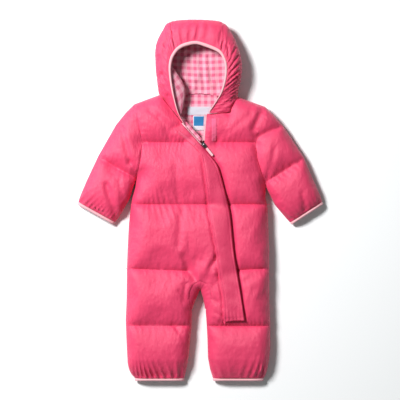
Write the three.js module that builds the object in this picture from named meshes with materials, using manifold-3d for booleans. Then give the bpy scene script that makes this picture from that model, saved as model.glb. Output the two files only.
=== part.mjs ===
// A baby's padded snowsuit, laid flat on its back with the hood up and the zip open at the neck.
// Millimetres. +X is the wearer's left, +Y is up the body to the hood, +Z is up from the table.
// Every piece that a maker would cut is one closed wall. Seams leave a small gap between pieces.
import * as THREE from 'three';
import { mergeVertices } from 'three/addons/utils/BufferGeometryUtils.js';
import Module from 'manifold-3d';

// Driving dimensions
const SEAM_GAP = 0.3;            // between two pieces that are sewn together
const PARTING = 16.5;            // height of the side seams, where front meets back
const LAYER_GAP = 0.5;           // between the front and the back where one lies on the other
const FRONT_EDGE_ROUND = 27;     // reach of the rounded edge on top
const BACK_EDGE_ROUND = 17;      // reach of the rounded edge below
const EDGE_WALL = 3;             // wall at the side seams
const QUILT_DEPTH = 7.5;         // how far a quilting seam is drawn in on top
const QUILT_REACH = 12;          // how far its trough reaches
const BACK_QUILT_DEPTH = 3;      // the same on the back, which rests on the table
const BACK_QUILT_REACH = 5;
const BACK_QUILT_FADE = 0.05;    // beyond this share of its depth the trough is gone
const GATHER_DEPTH = 2.6;        // the largest gather beside a seam
const GATHER_REACH = 13;
const SLEEVE_SINK = 7;           // sleeves are this much thinner than the body
const CUFF_SINK = 13;            // and thinner again at the cuff
const NECK_HOLLOW = 14;          // height of the space under the fronts at the neck
const NECK_HOLLOW_REACH = 62;
const CUFF_HOLLOW = 3;           // height of the slit inside a cuff or hem
const CUFF_HOLLOW_REACH = 34;
const HOOD_WALL = 8;             // padded wall of the hood at its rim and sides
const HOOD_BACK_WALL = 16.6;     // and where the back of the hood lies on the table
const HOOD_EDGE_ROUND = 22;
const LINING = 1.6;              // fleece lining
const BINDING_LENGTH = 5.5;      // elastic binding past a cuff or hem
const BINDING_HALF = 3.6;        // half the width of the hood's binding
const END_DROP = 8;              // the side seams come down this much towards cuffs and hems
const THINNEST_WALL = 2.5;
const FLAP_LIFT = 2.4;           // flap clear of the fronts
const FLAP_WALL = 3.2;
const FLAP_FREE_LIFT = 4;        // extra lift of the flap's free edge
const TAPE = 0.9;                // woven tapes and labels
const BINDING_THICK = 2.8;       // half the height of the hood's binding
const RIM_DROP = 0.6;            // the inner wall is this share of its depth lower at the rim
const LINING_SAG = 30;           // how far the right side of the lining sags into the hood
const LINING_TOP_Y = 350;        // where the two halves of the lining meet under the crest
const SLIDER_Y = 114.5;          // the zip is open down to here

const COLOURS = {
  shell: { color: 0xf4467f, roughness: 0.55, metalness: 0 },
  lining: { color: 0xf2a9bd, roughness: 0.95, metalness: 0 },
  binding: { color: 0xffc9d2, roughness: 0.8, metalness: 0 },
  tape: { color: 0xf7a3b4, roughness: 0.85, metalness: 0 },
  label: { color: 0xf2f2f4, roughness: 0.7, metalness: 0 },
  tab: { color: 0x0b87c0, roughness: 0.7, metalness: 0 },
  metal: { color: 0x3a3a3e, roughness: 0.35, metalness: 1 },
};

// The side seams, from the armhole down to the hem
const RIGHT_SIDE = [
  { y: 47.3, x: -133.4 }, { y: 28, x: -136 }, { y: 5, x: -142.5 }, { y: -16, x: -146 },
  { y: -54, x: -150 }, { y: -104, x: -152.5 }, { y: -146, x: -154 }, { y: -205, x: -154.5 },
  { y: -255, x: -156.5 }, { y: -293, x: -155 }, { y: -343, x: -152.5 }, { y: -356, x: -150 },
  { y: -368, x: -144.5 }, { y: -375, x: -137.5 },
];
const LEFT_SIDE = [
  { y: 28.4, x: 138.6 }, { y: 5, x: 138 }, { y: -16, x: 142.5 }, { y: -54, x: 144 },
  { y: -104, x: 146 }, { y: -205, x: 146 }, { y: -255, x: 148 }, { y: -310, x: 148 },
  { y: -343, x: 144.5 }, { y: -356, x: 142 }, { y: -368, x: 138.5 }, { y: -375, x: 135 },
];
// The inner edges of the legs, from the crotch down
const RIGHT_INSEAM = [
  { y: -190, x: 0.2 }, { y: -205, x: -7 }, { y: -217, x: -12 }, { y: -232, x: -15.8 },
  { y: -264, x: -17.5 }, { y: -293, x: -20 }, { y: -331, x: -24 }, { y: -356, x: -28.5 },
  { y: -375, x: -33 },
];
const LEFT_INSEAM = [
  { y: -190, x: 0.8 }, { y: -205, x: 6 }, { y: -217, x: 8.5 }, { y: -232, x: 11 },
  { y: -264, x: 14 }, { y: -293, x: 15.5 }, { y: -331, x: 16.5 }, { y: -356, x: 21 },
  { y: -375, x: 27 },
];
// Where the gusset is sewn to the fronts and backs
const RIGHT_GUSSET_SEAM = [
  { y: -169, x: 0.5 }, { y: -176, x: -13 }, { y: -190, x: -20.5 }, { y: -209, x: -23 },
  { y: -232, x: -16.5 },
];
const LEFT_GUSSET_SEAM = [
  { y: -169, x: 0.5 }, { y: -176, x: 15 }, { y: -190, x: 22 }, { y: -209, x: 23.5 },
  { y: -232, x: 11.7 },
];
// The zip's line, from the top of the opening on the right front to its end at the knee
const ZIP_LINE = [
  { y: 160.7, x: -36.8 }, { y: 114.5, x: 5.3 }, { y: 89, x: 20 }, { y: 62, x: 32.5 },
  { y: 22, x: 43 }, { y: -9.5, x: 52 }, { y: -51, x: 58 }, { y: -104, x: 62 },
  { y: -148, x: 68 }, { y: -198, x: 77 }, { y: -264, x: 86 },
];
const LEFT_OPENING_EDGE = [{ y: 181, x: 15 }, { y: 120.8, x: 9.2 }, { y: 114.5, x: 7 }];
// The line that splits the right front's columns: it runs down to the crotch
const SPLIT_LINE = [{ y: 120.8, x: -34 }, { y: -9.5, x: -6 }, { y: -146, x: 0 }, { y: -169, x: 0.5 }];
// Armholes, neck seams and sleeves. Each knot is shared by the pieces on both of its sides.
const RIGHT_ARMHOLE = [
  { x: -138.4, y: 201.6 }, { x: -120.8, y: 120.8 }, { x: -125, y: 85 }, { x: -133.4, y: 47.3 },
];
const LEFT_ARMHOLE = [
  { x: 137.1, y: 196.4 }, { x: 116.6, y: 120.8 }, { x: 120.8, y: 85 }, { x: 138.6, y: 28.4 },
];
const NECK_RIGHT = { x: -85, y: 221.5 };
const NECK_LEFT = { x: 78.8, y: 217.4 };
const NECK_LEFT_BEND = { x: 62.2, y: 184.4 };
const RIGHT_SLEEVE = [
  { t: 0.15, upperX: -157, upperY: 183, lowerX: -133.9, lowerY: 46.4 },
  { t: 0.3, upperX: -177, upperY: 158, lowerX: -134.3, lowerY: 45 },
  { t: 0.5, upperX: -214, upperY: 93, lowerX: -135.2, lowerY: 41.5 },
  { t: 0.75, upperX: -238, upperY: 42, lowerX: -148.5, lowerY: 1 },
  { t: 0.92, upperX: -253.5, upperY: 6, lowerX: -170.4, lowerY: -36 },
  { t: 1, upperX: -256.6, upperY: -3.4, lowerX: -179, lowerY: -46.5 },
];
const LEFT_SLEEVE = [
  { t: 0.15, upperX: 155, upperY: 179, lowerX: 139.2, lowerY: 27.4 },
  { t: 0.3, upperX: 177, upperY: 153, lowerX: 139.8, lowerY: 26 },
  { t: 0.5, upperX: 218.5, upperY: 90, lowerX: 141.5, lowerY: 22 },
  { t: 0.75, upperX: 239, upperY: 41, lowerX: 158, lowerY: -11 },
  { t: 0.92, upperX: 254.5, upperY: 7, lowerX: 182, lowerY: -39 },
  { t: 1, upperX: 257.4, upperY: -3.2, lowerX: 189.6, lowerY: -47 },
];
// Height of the top surface between seams, down the middle of the body
const LOFT = [
  { y: 222, z: 40 }, { y: 165, z: 43 }, { y: 110, z: 42 }, { y: -150, z: 41 },
  { y: -264, z: 39 }, { y: -335, z: 36 }, { y: -358, z: 29 }, { y: -381, z: 20 },
];
// Quilting seams. The gathered ones have puckers along them.
const QUILTING = [
  { name: 'yoke right', x1: -122, y1: 121, x2: -34, y2: 121, gathered: 0.9 },
  { name: 'yoke left', x1: 36, y1: 121, x2: 118, y2: 121, gathered: 0.35 },
  { name: 'waist right', x1: -150, y1: -9.5, x2: 22, y2: -9.5, gathered: 0.9 },
  { name: 'waist left', x1: 50, y1: -9.5, x2: 146, y2: -9.5, gathered: 0.3 },
  { name: 'hip right', x1: -160, y1: -144, x2: -26, y2: -149, gathered: 0.3 },
  { name: 'hip left', x1: 74, y1: -148, x2: 150, y2: -143, gathered: 0.2 },
  { name: 'knee right', x1: -160, y1: -263, x2: -16, y2: -264, gathered: 0.3 },
  { name: 'knee left', x1: 12, y1: -264, x2: 150, y2: -263, gathered: 0.4 },
  { name: 'right sleeve', x1: -216, y1: 92, x2: -133, y2: 44, gathered: 0.3 },
  { name: 'left upper sleeve', x1: 119, y1: 131, x2: 176, y2: 158, gathered: 0.5 },
  { name: 'left lower sleeve', x1: 140, y1: 38, x2: 220, y2: 89, gathered: 0.3 },
];
// Gathered edges: hems, cuffs and the right shoulder
const GATHERED_EDGES = [
  { x1: -140, y1: -375, x2: -30, y2: -374, gathered: 1 },
  { x1: 26, y1: -375, x2: 138, y2: -375, gathered: 1 },
  { x1: -257, y1: -3, x2: -179, y2: -47, gathered: 0.6 },
  { x1: 257, y1: -3, x2: 190, y2: -47, gathered: 0.9 },
  { x1: -138, y1: 200, x2: -121, y2: 125, gathered: 0.7 },
  { x1: 52, y1: -254, x2: 92, y2: -254, gathered: 0.8 },
];
// The largest folds, as soft troughs
const FOLDS = [
  { name: 'right sleeve, from the shoulder', x1: -163, y1: 148, x2: -146, y2: 80, depth: 4, reach: 8 },
  { name: 'right sleeve, to the armhole', x1: -146, y1: 80, x2: -133, y2: 56, depth: 4, reach: 8 },
  { name: 'right sleeve, to the cuff', x1: -196, y1: 32, x2: -176, y2: -36, depth: 5, reach: 8 },
  { name: 'right sleeve, short', x1: -171, y1: 40, x2: -164, y2: 4, depth: 2.5, reach: 7 },
  { name: 'right shoulder, outer', x1: -104, y1: 188, x2: -58, y2: 150, depth: 3.5, reach: 8 },
  { name: 'right shoulder, inner', x1: -88, y1: 170, x2: -60, y2: 128, depth: 2.5, reach: 8 },
  { name: 'left armhole', x1: 119, y1: 110, x2: 139, y2: 26, depth: 6, reach: 9 },
  { name: 'left shoulder, outer', x1: 129, y1: 186, x2: 112, y2: 150, depth: 4, reach: 8 },
  { name: 'left shoulder, to the neck', x1: 104, y1: 178, x2: 34, y2: 124, depth: 3, reach: 9 },
  { name: 'left sleeve, from the seam', x1: 156, y1: 108, x2: 142, y2: 48, depth: 3, reach: 8 },
  { name: 'left sleeve, at the cuff', x1: 214, y1: 14, x2: 220, y2: -18, depth: 3, reach: 6 },
  { name: 'front, right of the flap', x1: 96, y1: -170, x2: 130, y2: -150, depth: 2.5, reach: 9 },
  { name: 'belly, upper', x1: -52, y1: 78, x2: -44, y2: 4, depth: 2.5, reach: 9 },
  { name: 'belly, lower', x1: -38, y1: -22, x2: -46, y2: -96, depth: 3, reach: 9 },
  { name: 'crotch, right', x1: -34, y1: -118, x2: -12, y2: -168, depth: 4, reach: 9 },
  { name: 'crotch, left', x1: 36, y1: -118, x2: 12, y2: -166, depth: 4, reach: 9 },
];
// The storm flap's sections, from its turned-back top end down to the knee
const FLAP = [
  { leftX: -51.5, leftY: 147, rightX: -38.6, rightY: 160 },
  { leftX: -28, leftY: 124.5, rightX: -15.6, rightY: 134.8 },
  { leftX: -5.3, leftY: 103, rightX: 3, rightY: 114.5 },
  { leftX: 2.3, leftY: 90, rightX: 20, rightY: 94 },
  { leftX: 7.4, leftY: 62, rightX: 38, rightY: 68 },
  { leftX: 15, leftY: 7, rightX: 54, rightY: 10 },
  { leftX: 18.7, leftY: -30, rightX: 63, rightY: -33 },
  { leftX: 32, leftY: -104, rightX: 70, rightY: -104 },
  { leftX: 40, leftY: -161, rightX: 78.5, rightY: -158 },
  { leftX: 48, leftY: -206, rightX: 86, rightY: -203 },
  { leftX: 50.6, leftY: -255, rightX: 93.5, rightY: -252 },
];
// The hood's sections, from the right end of the neck seam over the top to the left end.
// rim is the face opening, edge is the outline from above, back is where the piece ends below.
const HOOD = [
  { rimX: -35.7, rimY: 161.5, rimZ: 45, edgeX: -85, edgeY: 221.5, edgeZ: 17, belly: 0 },
  { rimX: -48.5, rimY: 187, rimZ: 50, edgeX: -88, edgeY: 240, edgeZ: 21, belly: 0 },
  { rimX: -57.5, rimY: 219, rimZ: 55, edgeX: -90, edgeY: 257, edgeZ: 25, belly: 0 },
  { rimX: -63.5, rimY: 251, rimZ: 58, edgeX: -92, edgeY: 278, edgeZ: 27, belly: 0 },
  { rimX: -65.5, rimY: 278, rimZ: 59, edgeX: -93.5, edgeY: 305, edgeZ: 28, belly: 0 },
  { rimX: -61.5, rimY: 300, rimZ: 58, edgeX: -91, edgeY: 329, edgeZ: 28, belly: 0 },
  { rimX: -49.5, rimY: 318, rimZ: 57, edgeX: -78, edgeY: 356, edgeZ: 28, belly: 0 },
  { rimX: -33, rimY: 327.5, rimZ: 56, edgeX: -62, edgeY: 374, edgeZ: 28, belly: 0 },
  { rimX: -5, rimY: 332, rimZ: 55, edgeX: -6, edgeY: 379, edgeZ: 28, belly: 0 },
  { rimX: 38, rimY: 316, rimZ: 56, edgeX: 48.5, edgeY: 372, edgeZ: 28, belly: 0 },
  { rimX: 52, rimY: 298, rimZ: 58, edgeX: 70.5, edgeY: 341, edgeZ: 28, belly: 0 },
  { rimX: 57, rimY: 277, rimZ: 59, edgeX: 84, edgeY: 304, edgeZ: 28, belly: 0 },
  { rimX: 55, rimY: 252, rimZ: 58, edgeX: 87, edgeY: 276, edgeZ: 27, belly: 0 },
  { rimX: 47.5, rimY: 226, rimZ: 54, edgeX: 84, edgeY: 250, edgeZ: 25, belly: 4 },
  { rimX: 33, rimY: 202, rimZ: 49, edgeX: 80, edgeY: 233, edgeZ: 21, belly: 11 },
  { rimX: 19, rimY: 181.5, rimZ: 45, edgeX: 78.8, edgeY: 217.4, edgeZ: 17, belly: 20 },
];
const SEAM_RIGHT_STATION = 7;
const CREST_STATION = 8;
const SEAM_LEFT_STATION = 9;
const LAST_STATION = HOOD.length - 1;
const NAPE_RIGHT_X = -50;
const NAPE_LEFT_X = 46;
const LINING_CENTRE_X = -2;

const lerp = THREE.MathUtils.lerp;
const clamp = THREE.MathUtils.clamp;
const mix = (a, b, t) => ({ x: lerp(a.x, b.x, t), y: lerp(a.y, b.y, t) });

// Reads a column of a table between two of its rows, which are ordered by the key.
function readTable(table, place, column, key = 'y') {
  const rows = table[0][key] < table[table.length - 1][key] ? table : [...table].reverse();
  if (place <= rows[0][key]) return rows[0][column];
  for (let i = 1; i < rows.length; i += 1) {
    if (place <= rows[i][key]) {
      const t = (place - rows[i - 1][key]) / (rows[i][key] - rows[i - 1][key]);
      return lerp(rows[i - 1][column], rows[i][column], t);
    }
  }
  return rows[rows.length - 1][column];
}

function distanceToSegment(x, y, s) {
  const dx = s.x2 - s.x1;
  const dy = s.y2 - s.y1;
  const t = clamp(((x - s.x1) * dx + (y - s.y1) * dy) / (dx * dx + dy * dy), 0, 1);
  return Math.hypot(x - s.x1 - t * dx, y - s.y1 - t * dy);
}

function pathSegments(points) {
  return points.slice(1).map((p, i) => ({ x1: points[i].x, y1: points[i].y, x2: p.x, y2: p.y }));
}

// The sewn or folded outline of the body, legs and sleeves, without cuffs, hems and neck
const upperEdge = (sleeve) => sleeve.map((row) => ({ x: row.upperX, y: row.upperY }));
const lowerEdge = (sleeve) => sleeve.map((row) => ({ x: row.lowerX, y: row.lowerY }));
const OUTLINE = [
  ...pathSegments([NECK_RIGHT, RIGHT_ARMHOLE[0], ...upperEdge(RIGHT_SLEEVE)]),
  ...pathSegments([RIGHT_ARMHOLE[3], ...lowerEdge(RIGHT_SLEEVE)]),
  ...pathSegments(RIGHT_SIDE),
  ...pathSegments(RIGHT_INSEAM),
  ...pathSegments(LEFT_INSEAM),
  ...pathSegments(LEFT_SIDE),
  ...pathSegments([LEFT_ARMHOLE[3], ...lowerEdge(LEFT_SLEEVE)]),
  ...pathSegments([NECK_LEFT, LEFT_ARMHOLE[0], ...upperEdge(LEFT_SLEEVE)]),
];
const HOOD_OUTLINE = pathSegments(HOOD.map((row) => ({ x: row.edgeX, y: row.edgeY })));
const nearest = (segments, x, y) => Math.min(...segments.map((s) => distanceToSegment(x, y, s)));

// A quarter ellipse: 0 at the outline, 1 where the rounded edge ends.
function rounding(distance, reach) {
  const s = clamp(distance / reach, 0, 1);
  return Math.sqrt(1 - (1 - s) * (1 - s));
}

// How much thinner the sleeve is here than the body
function sleeveSink(x, y) {
  const out = clamp((Math.abs(x) - 118) / 70, 0, 1);
  return y > -60 ? SLEEVE_SINK * out * out * (3 - 2 * out) : 0;
}

function cuffSink(x, y) {
  const cuffs = GATHERED_EDGES.slice(2, 4);
  return CUFF_SINK * Math.exp(-Math.min(...cuffs.map((s) => distanceToSegment(x, y, s))) / 18);
}

// How near a point is to an open end: 1 at a cuff or hem, 0 further in
function endNearness(x, y) {
  const ends = GATHERED_EDGES.slice(0, 4).map((s) => distanceToSegment(x, y, s));
  const near = clamp(1 - Math.min(...ends) / CUFF_HOLLOW_REACH, 0, 1);
  return near * near * (3 - 2 * near);
}

// Height of the side seams, where the front meets the back
const partingHeight = (x, y) => PARTING - END_DROP * endNearness(x, y);

// Height of the top surface, before the gathers
function topHeight(x, y) {
  let height = readTable(LOFT, y, 'z') - sleeveSink(x, y) - cuffSink(x, y);
  for (const seam of QUILTING) {
    height -= QUILT_DEPTH * Math.exp(-distanceToSegment(x, y, seam) / QUILT_REACH);
  }
  for (const fold of FOLDS) {
    const d = distanceToSegment(x, y, fold) / fold.reach;
    height -= fold.depth * Math.exp(-d * d);
  }
  const parting = partingHeight(x, y);
  return parting + (height - parting) * rounding(nearest(OUTLINE, x, y), FRONT_EDGE_ROUND);
}

// Height of the underside: on the table in the middle, up to the side seam at the edges
function bottomHeight(x, y) {
  let lift = 0;
  for (const seam of QUILTING) {
    const trough = Math.exp(-distanceToSegment(x, y, seam) / BACK_QUILT_REACH);
    lift = Math.max(lift, BACK_QUILT_DEPTH * (trough - BACK_QUILT_FADE));
  }
  const full = rounding(nearest(OUTLINE, x, y), BACK_EDGE_ROUND);
  return (partingHeight(x, y) - LAYER_GAP / 2) * (1 - full) + lift * full;
}

// Every second column of a gathered piece dips beside its seams, by uneven amounts.
function gather(x, y, column) {
  if (column % 2 === 0) return 0;
  const uneven = 0.55 + 0.45 * Math.sin(column * 2.4 + y * 0.02);
  let dip = 0;
  for (const seam of [...QUILTING, ...GATHERED_EDGES]) {
    const near = distanceToSegment(x, y, seam) / GATHER_REACH;
    dip = Math.max(dip, seam.gathered * Math.exp(-near * near));
  }
  const full = rounding(nearest(OUTLINE, x, y), FRONT_EDGE_ROUND);
  return GATHER_DEPTH * dip * uneven * full;
}

// Height of the space between front and back: under the neck opening, and inside cuffs and hems
const NECK_HOLLOW_LINE = { x1: -12, y1: 200, x2: 4, y2: 122 };
function hollowHeight(x, y) {
  const neck = clamp(1 - distanceToSegment(x, y, NECK_HOLLOW_LINE) / NECK_HOLLOW_REACH, 0, 1);
  const flat = rounding(nearest(OUTLINE, x, y), FRONT_EDGE_ROUND);
  return (NECK_HOLLOW * neck * (2 - neck) + CUFF_HOLLOW * endNearness(x, y)) * flat;
}

// Turns a sheet of outer points and a sheet of inner points into one closed wall.
// blocks are ranges of columns and rows. rim runs along their edge: left side down, lower edge to
// the right, right side up and upper edge back. The inner sheet uses every stride-th point.
function closedWall({ blocks, rim, outer, inner, stride = 1 }) {
  const positions = [];
  const triangle = (...points) => points.forEach((p) => positions.push(p.x, p.y, p.z));
  const sheet = (point, step, turned) => {
    for (const b of blocks) {
      for (let c = b.columns[0]; c < b.columns[1]; c += step) {
        for (let r = b.rows[0]; r < b.rows[1]; r += step) {
          const p = [point(c, r, b.name), point(c, r + step, b.name)];
          const q = [point(c + step, r, b.name), point(c + step, r + step, b.name)];
          if (turned) {
            triangle(p[0], q[1], p[1]);
            triangle(p[0], q[0], q[1]);
          } else {
            triangle(p[0], p[1], q[1]);
            triangle(p[0], q[1], q[0]);
          }
        }
      }
    }
  };
  sheet(outer, 1, false);
  sheet(inner, stride, true);
  for (const run of rim) {
    const [c0, r0] = run.from;
    const dc = Math.sign(run.to[0] - c0);
    const dr = Math.sign(run.to[1] - r0);
    const count = Math.max(Math.abs(run.to[0] - c0), Math.abs(run.to[1] - r0));
    for (let i = 0; i < count; i += stride) {
      const at = (point, k) => point(c0 + dc * (i + k), r0 + dr * (i + k), run.name);
      for (let k = 0; k < stride; k += 1) {
        triangle(at(outer, k + 1), at(outer, k), at(inner, 0));
      }
      triangle(at(outer, stride), at(inner, 0), at(inner, stride));
    }
  }
  return closedGeometry(positions);
}

// Merges the corners, drops triangles that have shrunk to a line and points the faces outwards.
function closedGeometry(positions) {
  const loose = new THREE.BufferGeometry();
  loose.setAttribute('position', new THREE.Float32BufferAttribute(positions, 3));
  const merged = mergeVertices(loose, 1e-3);
  const at = merged.getAttribute('position');
  const corner = (i) => new THREE.Vector3().fromBufferAttribute(at, i);
  const index = merged.getIndex().array;
  const kept = [];
  let volume = 0;
  for (let i = 0; i < index.length; i += 3) {
    const [a, b, c] = [index[i], index[i + 1], index[i + 2]];
    if (a !== b && b !== c && c !== a) {
      kept.push(a, b, c);
      volume += corner(a).dot(corner(b).cross(corner(c)));
    }
  }
  if (volume < 0) kept.reverse();
  merged.setIndex(kept);
  merged.computeVertexNormals();
  return merged;
}

// The runs round a plain grid of columns and rows
function gridRim(columns, rows) {
  return [
    { from: [0, 0], to: [0, rows] },
    { from: [0, rows], to: [columns, rows] },
    { from: [columns, rows], to: [columns, 0] },
    { from: [columns, 0], to: [0, 0] },
  ];
}

function gridWall(columns, rows, outer, inner, stride = 1) {
  const blocks = [{ columns: [0, columns], rows: [0, rows] }];
  return closedWall({ blocks, rim: gridRim(columns, rows), outer, inner, stride });
}

// A wall round a tube: the columns go all the way round, so only its two ends have a rim.
function tubeWall(columns, rows, outer, inner, stride = 1) {
  const blocks = [{ columns: [0, columns], rows: [0, rows] }];
  const rim = [gridRim(columns, rows)[1], gridRim(columns, rows)[3]];
  const around = (point) => (c, r) => point(c % columns, r);
  return closedWall({ blocks, rim, outer: around(outer), inner: around(inner), stride });
}

const group = new THREE.Group();
function addPiece(name, geometry, colour) {
  const mesh = new THREE.Mesh(geometry, new THREE.MeshStandardMaterial(COLOURS[colour]));
  mesh.name = name;
  group.add(mesh);
  return mesh;
}

// Rows of the body panels: heights down the garment, close together beside each quilting seam
const YOKE_PLACES = [0, 0.03, 0.1, 0.22, 0.38, 0.55, 0.74, 0.9, 1];
const YOKE_ROWS = YOKE_PLACES.length - 1;
const YOKE_BOTTOM = 120.8;
const CROTCH = -169;
const KNEE = -264;
const GUSSET_END = -232;
const ROW_LEVELS = [
  YOKE_BOTTOM, 116, 107, 96, 85, 66, 47.3, 28.4, 10, -2, -9.5, -17, -28, -50, -76, -100, -118,
  -132, -140, -147, -155, -162, CROTCH, -172, -176, -183, -190, -199, -209, -220, GUSSET_END,
  -242, -250, -258, KNEE,
  -272, -284, -304, -326, -344, -358, -368, -375,
];
const CROTCH_ROW = YOKE_ROWS + ROW_LEVELS.indexOf(CROTCH);
const KNEE_ROW = YOKE_ROWS + ROW_LEVELS.indexOf(KNEE);
const HEM_ROW = YOKE_ROWS + ROW_LEVELS.length - 1;
const level = (row) => ROW_LEVELS[row - YOKE_ROWS];

// Places columns across a panel: close together at a rounded edge, then even.
const DENSE = [0, 0.012, 0.045, 0.1];
function spread(column, count, denseStart, denseEnd) {
  const edge = DENSE.length - 1;
  if (denseStart && column <= edge) return DENSE[column];
  if (denseEnd && count - column <= edge) return 1 - DENSE[count - column];
  const first = denseStart ? edge : 0;
  const last = denseEnd ? count - edge : count;
  const low = denseStart ? DENSE[edge] : 0;
  const high = denseEnd ? 1 - DENSE[edge] : 1;
  return lerp(low, high, (column - first) / (last - first));
}

function sideEdge(armhole, side, y) {
  const knots = armhole.slice(1);
  return y >= knots[knots.length - 1].y ? readTable(knots, y, 'x') : readTable(side, y, 'x');
}
// The inner edge of a leg's panel: the gusset's seam, then the inseam
function legEdge(gussetSeam, inseam, y) {
  return readTable(y >= GUSSET_END ? gussetSeam : inseam, y, 'x');
}
const rightEdge = (y) => sideEdge(RIGHT_ARMHOLE, RIGHT_SIDE, y) + SEAM_GAP / 2;
const leftEdge = (y) => sideEdge(LEFT_ARMHOLE, LEFT_SIDE, y) - SEAM_GAP / 2;
const rightLegEdge = (y) => legEdge(RIGHT_GUSSET_SEAM, RIGHT_INSEAM, y) - SEAM_GAP / 2;
const leftLegEdge = (y) => legEdge(LEFT_GUSSET_SEAM, LEFT_INSEAM, y) + SEAM_GAP / 2;
const rightOfZip = (y) => readTable(ZIP_LINE, y, 'x') - SEAM_GAP / 2;
const leftOfZip = (y) => (
  y >= SLIDER_Y ? readTable(LEFT_OPENING_EDGE, y, 'x') : readTable(ZIP_LINE, y, 'x') + SEAM_GAP / 2);
const napeY = (x) => lerp(NECK_RIGHT.y, NECK_LEFT.y, (x - NECK_RIGHT.x) / (NECK_LEFT.x - NECK_RIGHT.x));
const below = (point) => ({ x: point.x, y: point.y - SEAM_GAP });
const beside = (point, shift) => ({ x: point.x + shift, y: point.y });

// The top row of a panel: its columns are shared out over the straight runs of a path.
// Each stop names the column that reaches a knot of the path.
function topRow(stops, place) {
  return (column) => {
    const i = Math.max(1, stops.findIndex((stop) => column <= stop.column));
    const [a, b] = [stops[i - 1], stops[i]];
    const t = (place(column) - place(a.column)) / (place(b.column) - place(a.column));
    return mix(a.point, b.point, t);
  };
}

// A panel's plan: ruled between its top row and the yoke's seam, then level rows down to its end.
function panelPlan({ top, across, columns, lastRow, firstRow = 0 }) {
  const plan = (c, r, part) => {
    if (r > YOKE_ROWS) return { x: across(c, level(r), part), y: level(r) };
    return mix(top(c), { x: across(c, YOKE_BOTTOM, part), y: YOKE_BOTTOM }, YOKE_PLACES[r]);
  };
  plan.limits = () => ({ columns: [0, columns], rows: [firstRow, lastRow] });
  return plan;
}

// The inner wall starts a little inside the cut edge.
function insetPoint(plan, c, r, part) {
  const p = plan(c, r, part);
  const { columns, rows } = plan.limits(part);
  const q = plan(
    c + (c === columns[0] ? 1 : 0) - (c === columns[1] ? 1 : 0),
    r + (r === rows[0] ? 1 : 0) - (r === rows[1] ? 1 : 0),
    part,
  );
  const length = Math.hypot(q.x - p.x, q.y - p.y);
  return length === 0 ? p : mix(p, q, Math.min(EDGE_WALL / 2, 0.45 * length) / length);
}

// The outer and inner points of a padded panel on top, from its plan
function frontPoints(plan) {
  const outer = (c, r, part) => {
    const p = plan(c, r, part);
    const low = partingHeight(p.x, p.y);
    return { ...p, z: Math.max(topHeight(p.x, p.y) - gather(p.x, p.y, c), low) + LAYER_GAP / 2 };
  };
  const inner = (c, r, part) => {
    const p = insetPoint(plan, c, r, part);
    const low = partingHeight(p.x, p.y) + LAYER_GAP / 2;
    const roof = topHeight(p.x, p.y) - GATHER_DEPTH - THINNEST_WALL;
    return { ...p, z: Math.max(low, Math.min(low + hollowHeight(p.x, p.y), roof)) };
  };
  return { outer, inner };
}

function backPoints(plan) {
  const outer = (c, r, part) => {
    const p = plan(c, r, part);
    return { ...p, z: bottomHeight(p.x, p.y) };
  };
  const inner = (c, r, part) => {
    const p = insetPoint(plan, c, r, part);
    return { ...p, z: partingHeight(p.x, p.y) - LAYER_GAP / 2 };
  };
  return { outer, inner };
}

// Right front: body and right leg, and the strip between the left inseam and the zip
const RIGHT_SPLIT = 20;
const RIGHT_COLUMNS = 26;
function rightFrontAcross(c, y, part) {
  const leg = y < CROTCH;
  const split = leg ? rightLegEdge(y) : readTable(SPLIT_LINE, y, 'x');
  const start = leg ? leftLegEdge(y) : split;
  if (part !== 'left leg' && c <= RIGHT_SPLIT) {
    return lerp(rightEdge(y), split, spread(c, RIGHT_SPLIT, true, leg));
  }
  return lerp(start, rightOfZip(y), (c - RIGHT_SPLIT) / (RIGHT_COLUMNS - RIGHT_SPLIT));
}
const rightFrontPlan = panelPlan({
  top: topRow([
    { column: 0, point: beside(RIGHT_ARMHOLE[0], SEAM_GAP / 2) },
    { column: 12, point: below(NECK_RIGHT) },
    { column: RIGHT_COLUMNS, point: below(ZIP_LINE[0]) },
  ], (c) => rightFrontAcross(c, YOKE_BOTTOM)),
  across: rightFrontAcross,
});
rightFrontPlan.limits = (part) => {
  if (part === 'right leg') return { columns: [0, RIGHT_SPLIT], rows: [-1, HEM_ROW] };
  if (part === 'left leg') return { columns: [RIGHT_SPLIT, RIGHT_COLUMNS], rows: [-1, KNEE_ROW] };
  return { columns: [0, RIGHT_COLUMNS], rows: [0, -1] };
};
const rightFront = frontPoints(rightFrontPlan);
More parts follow.
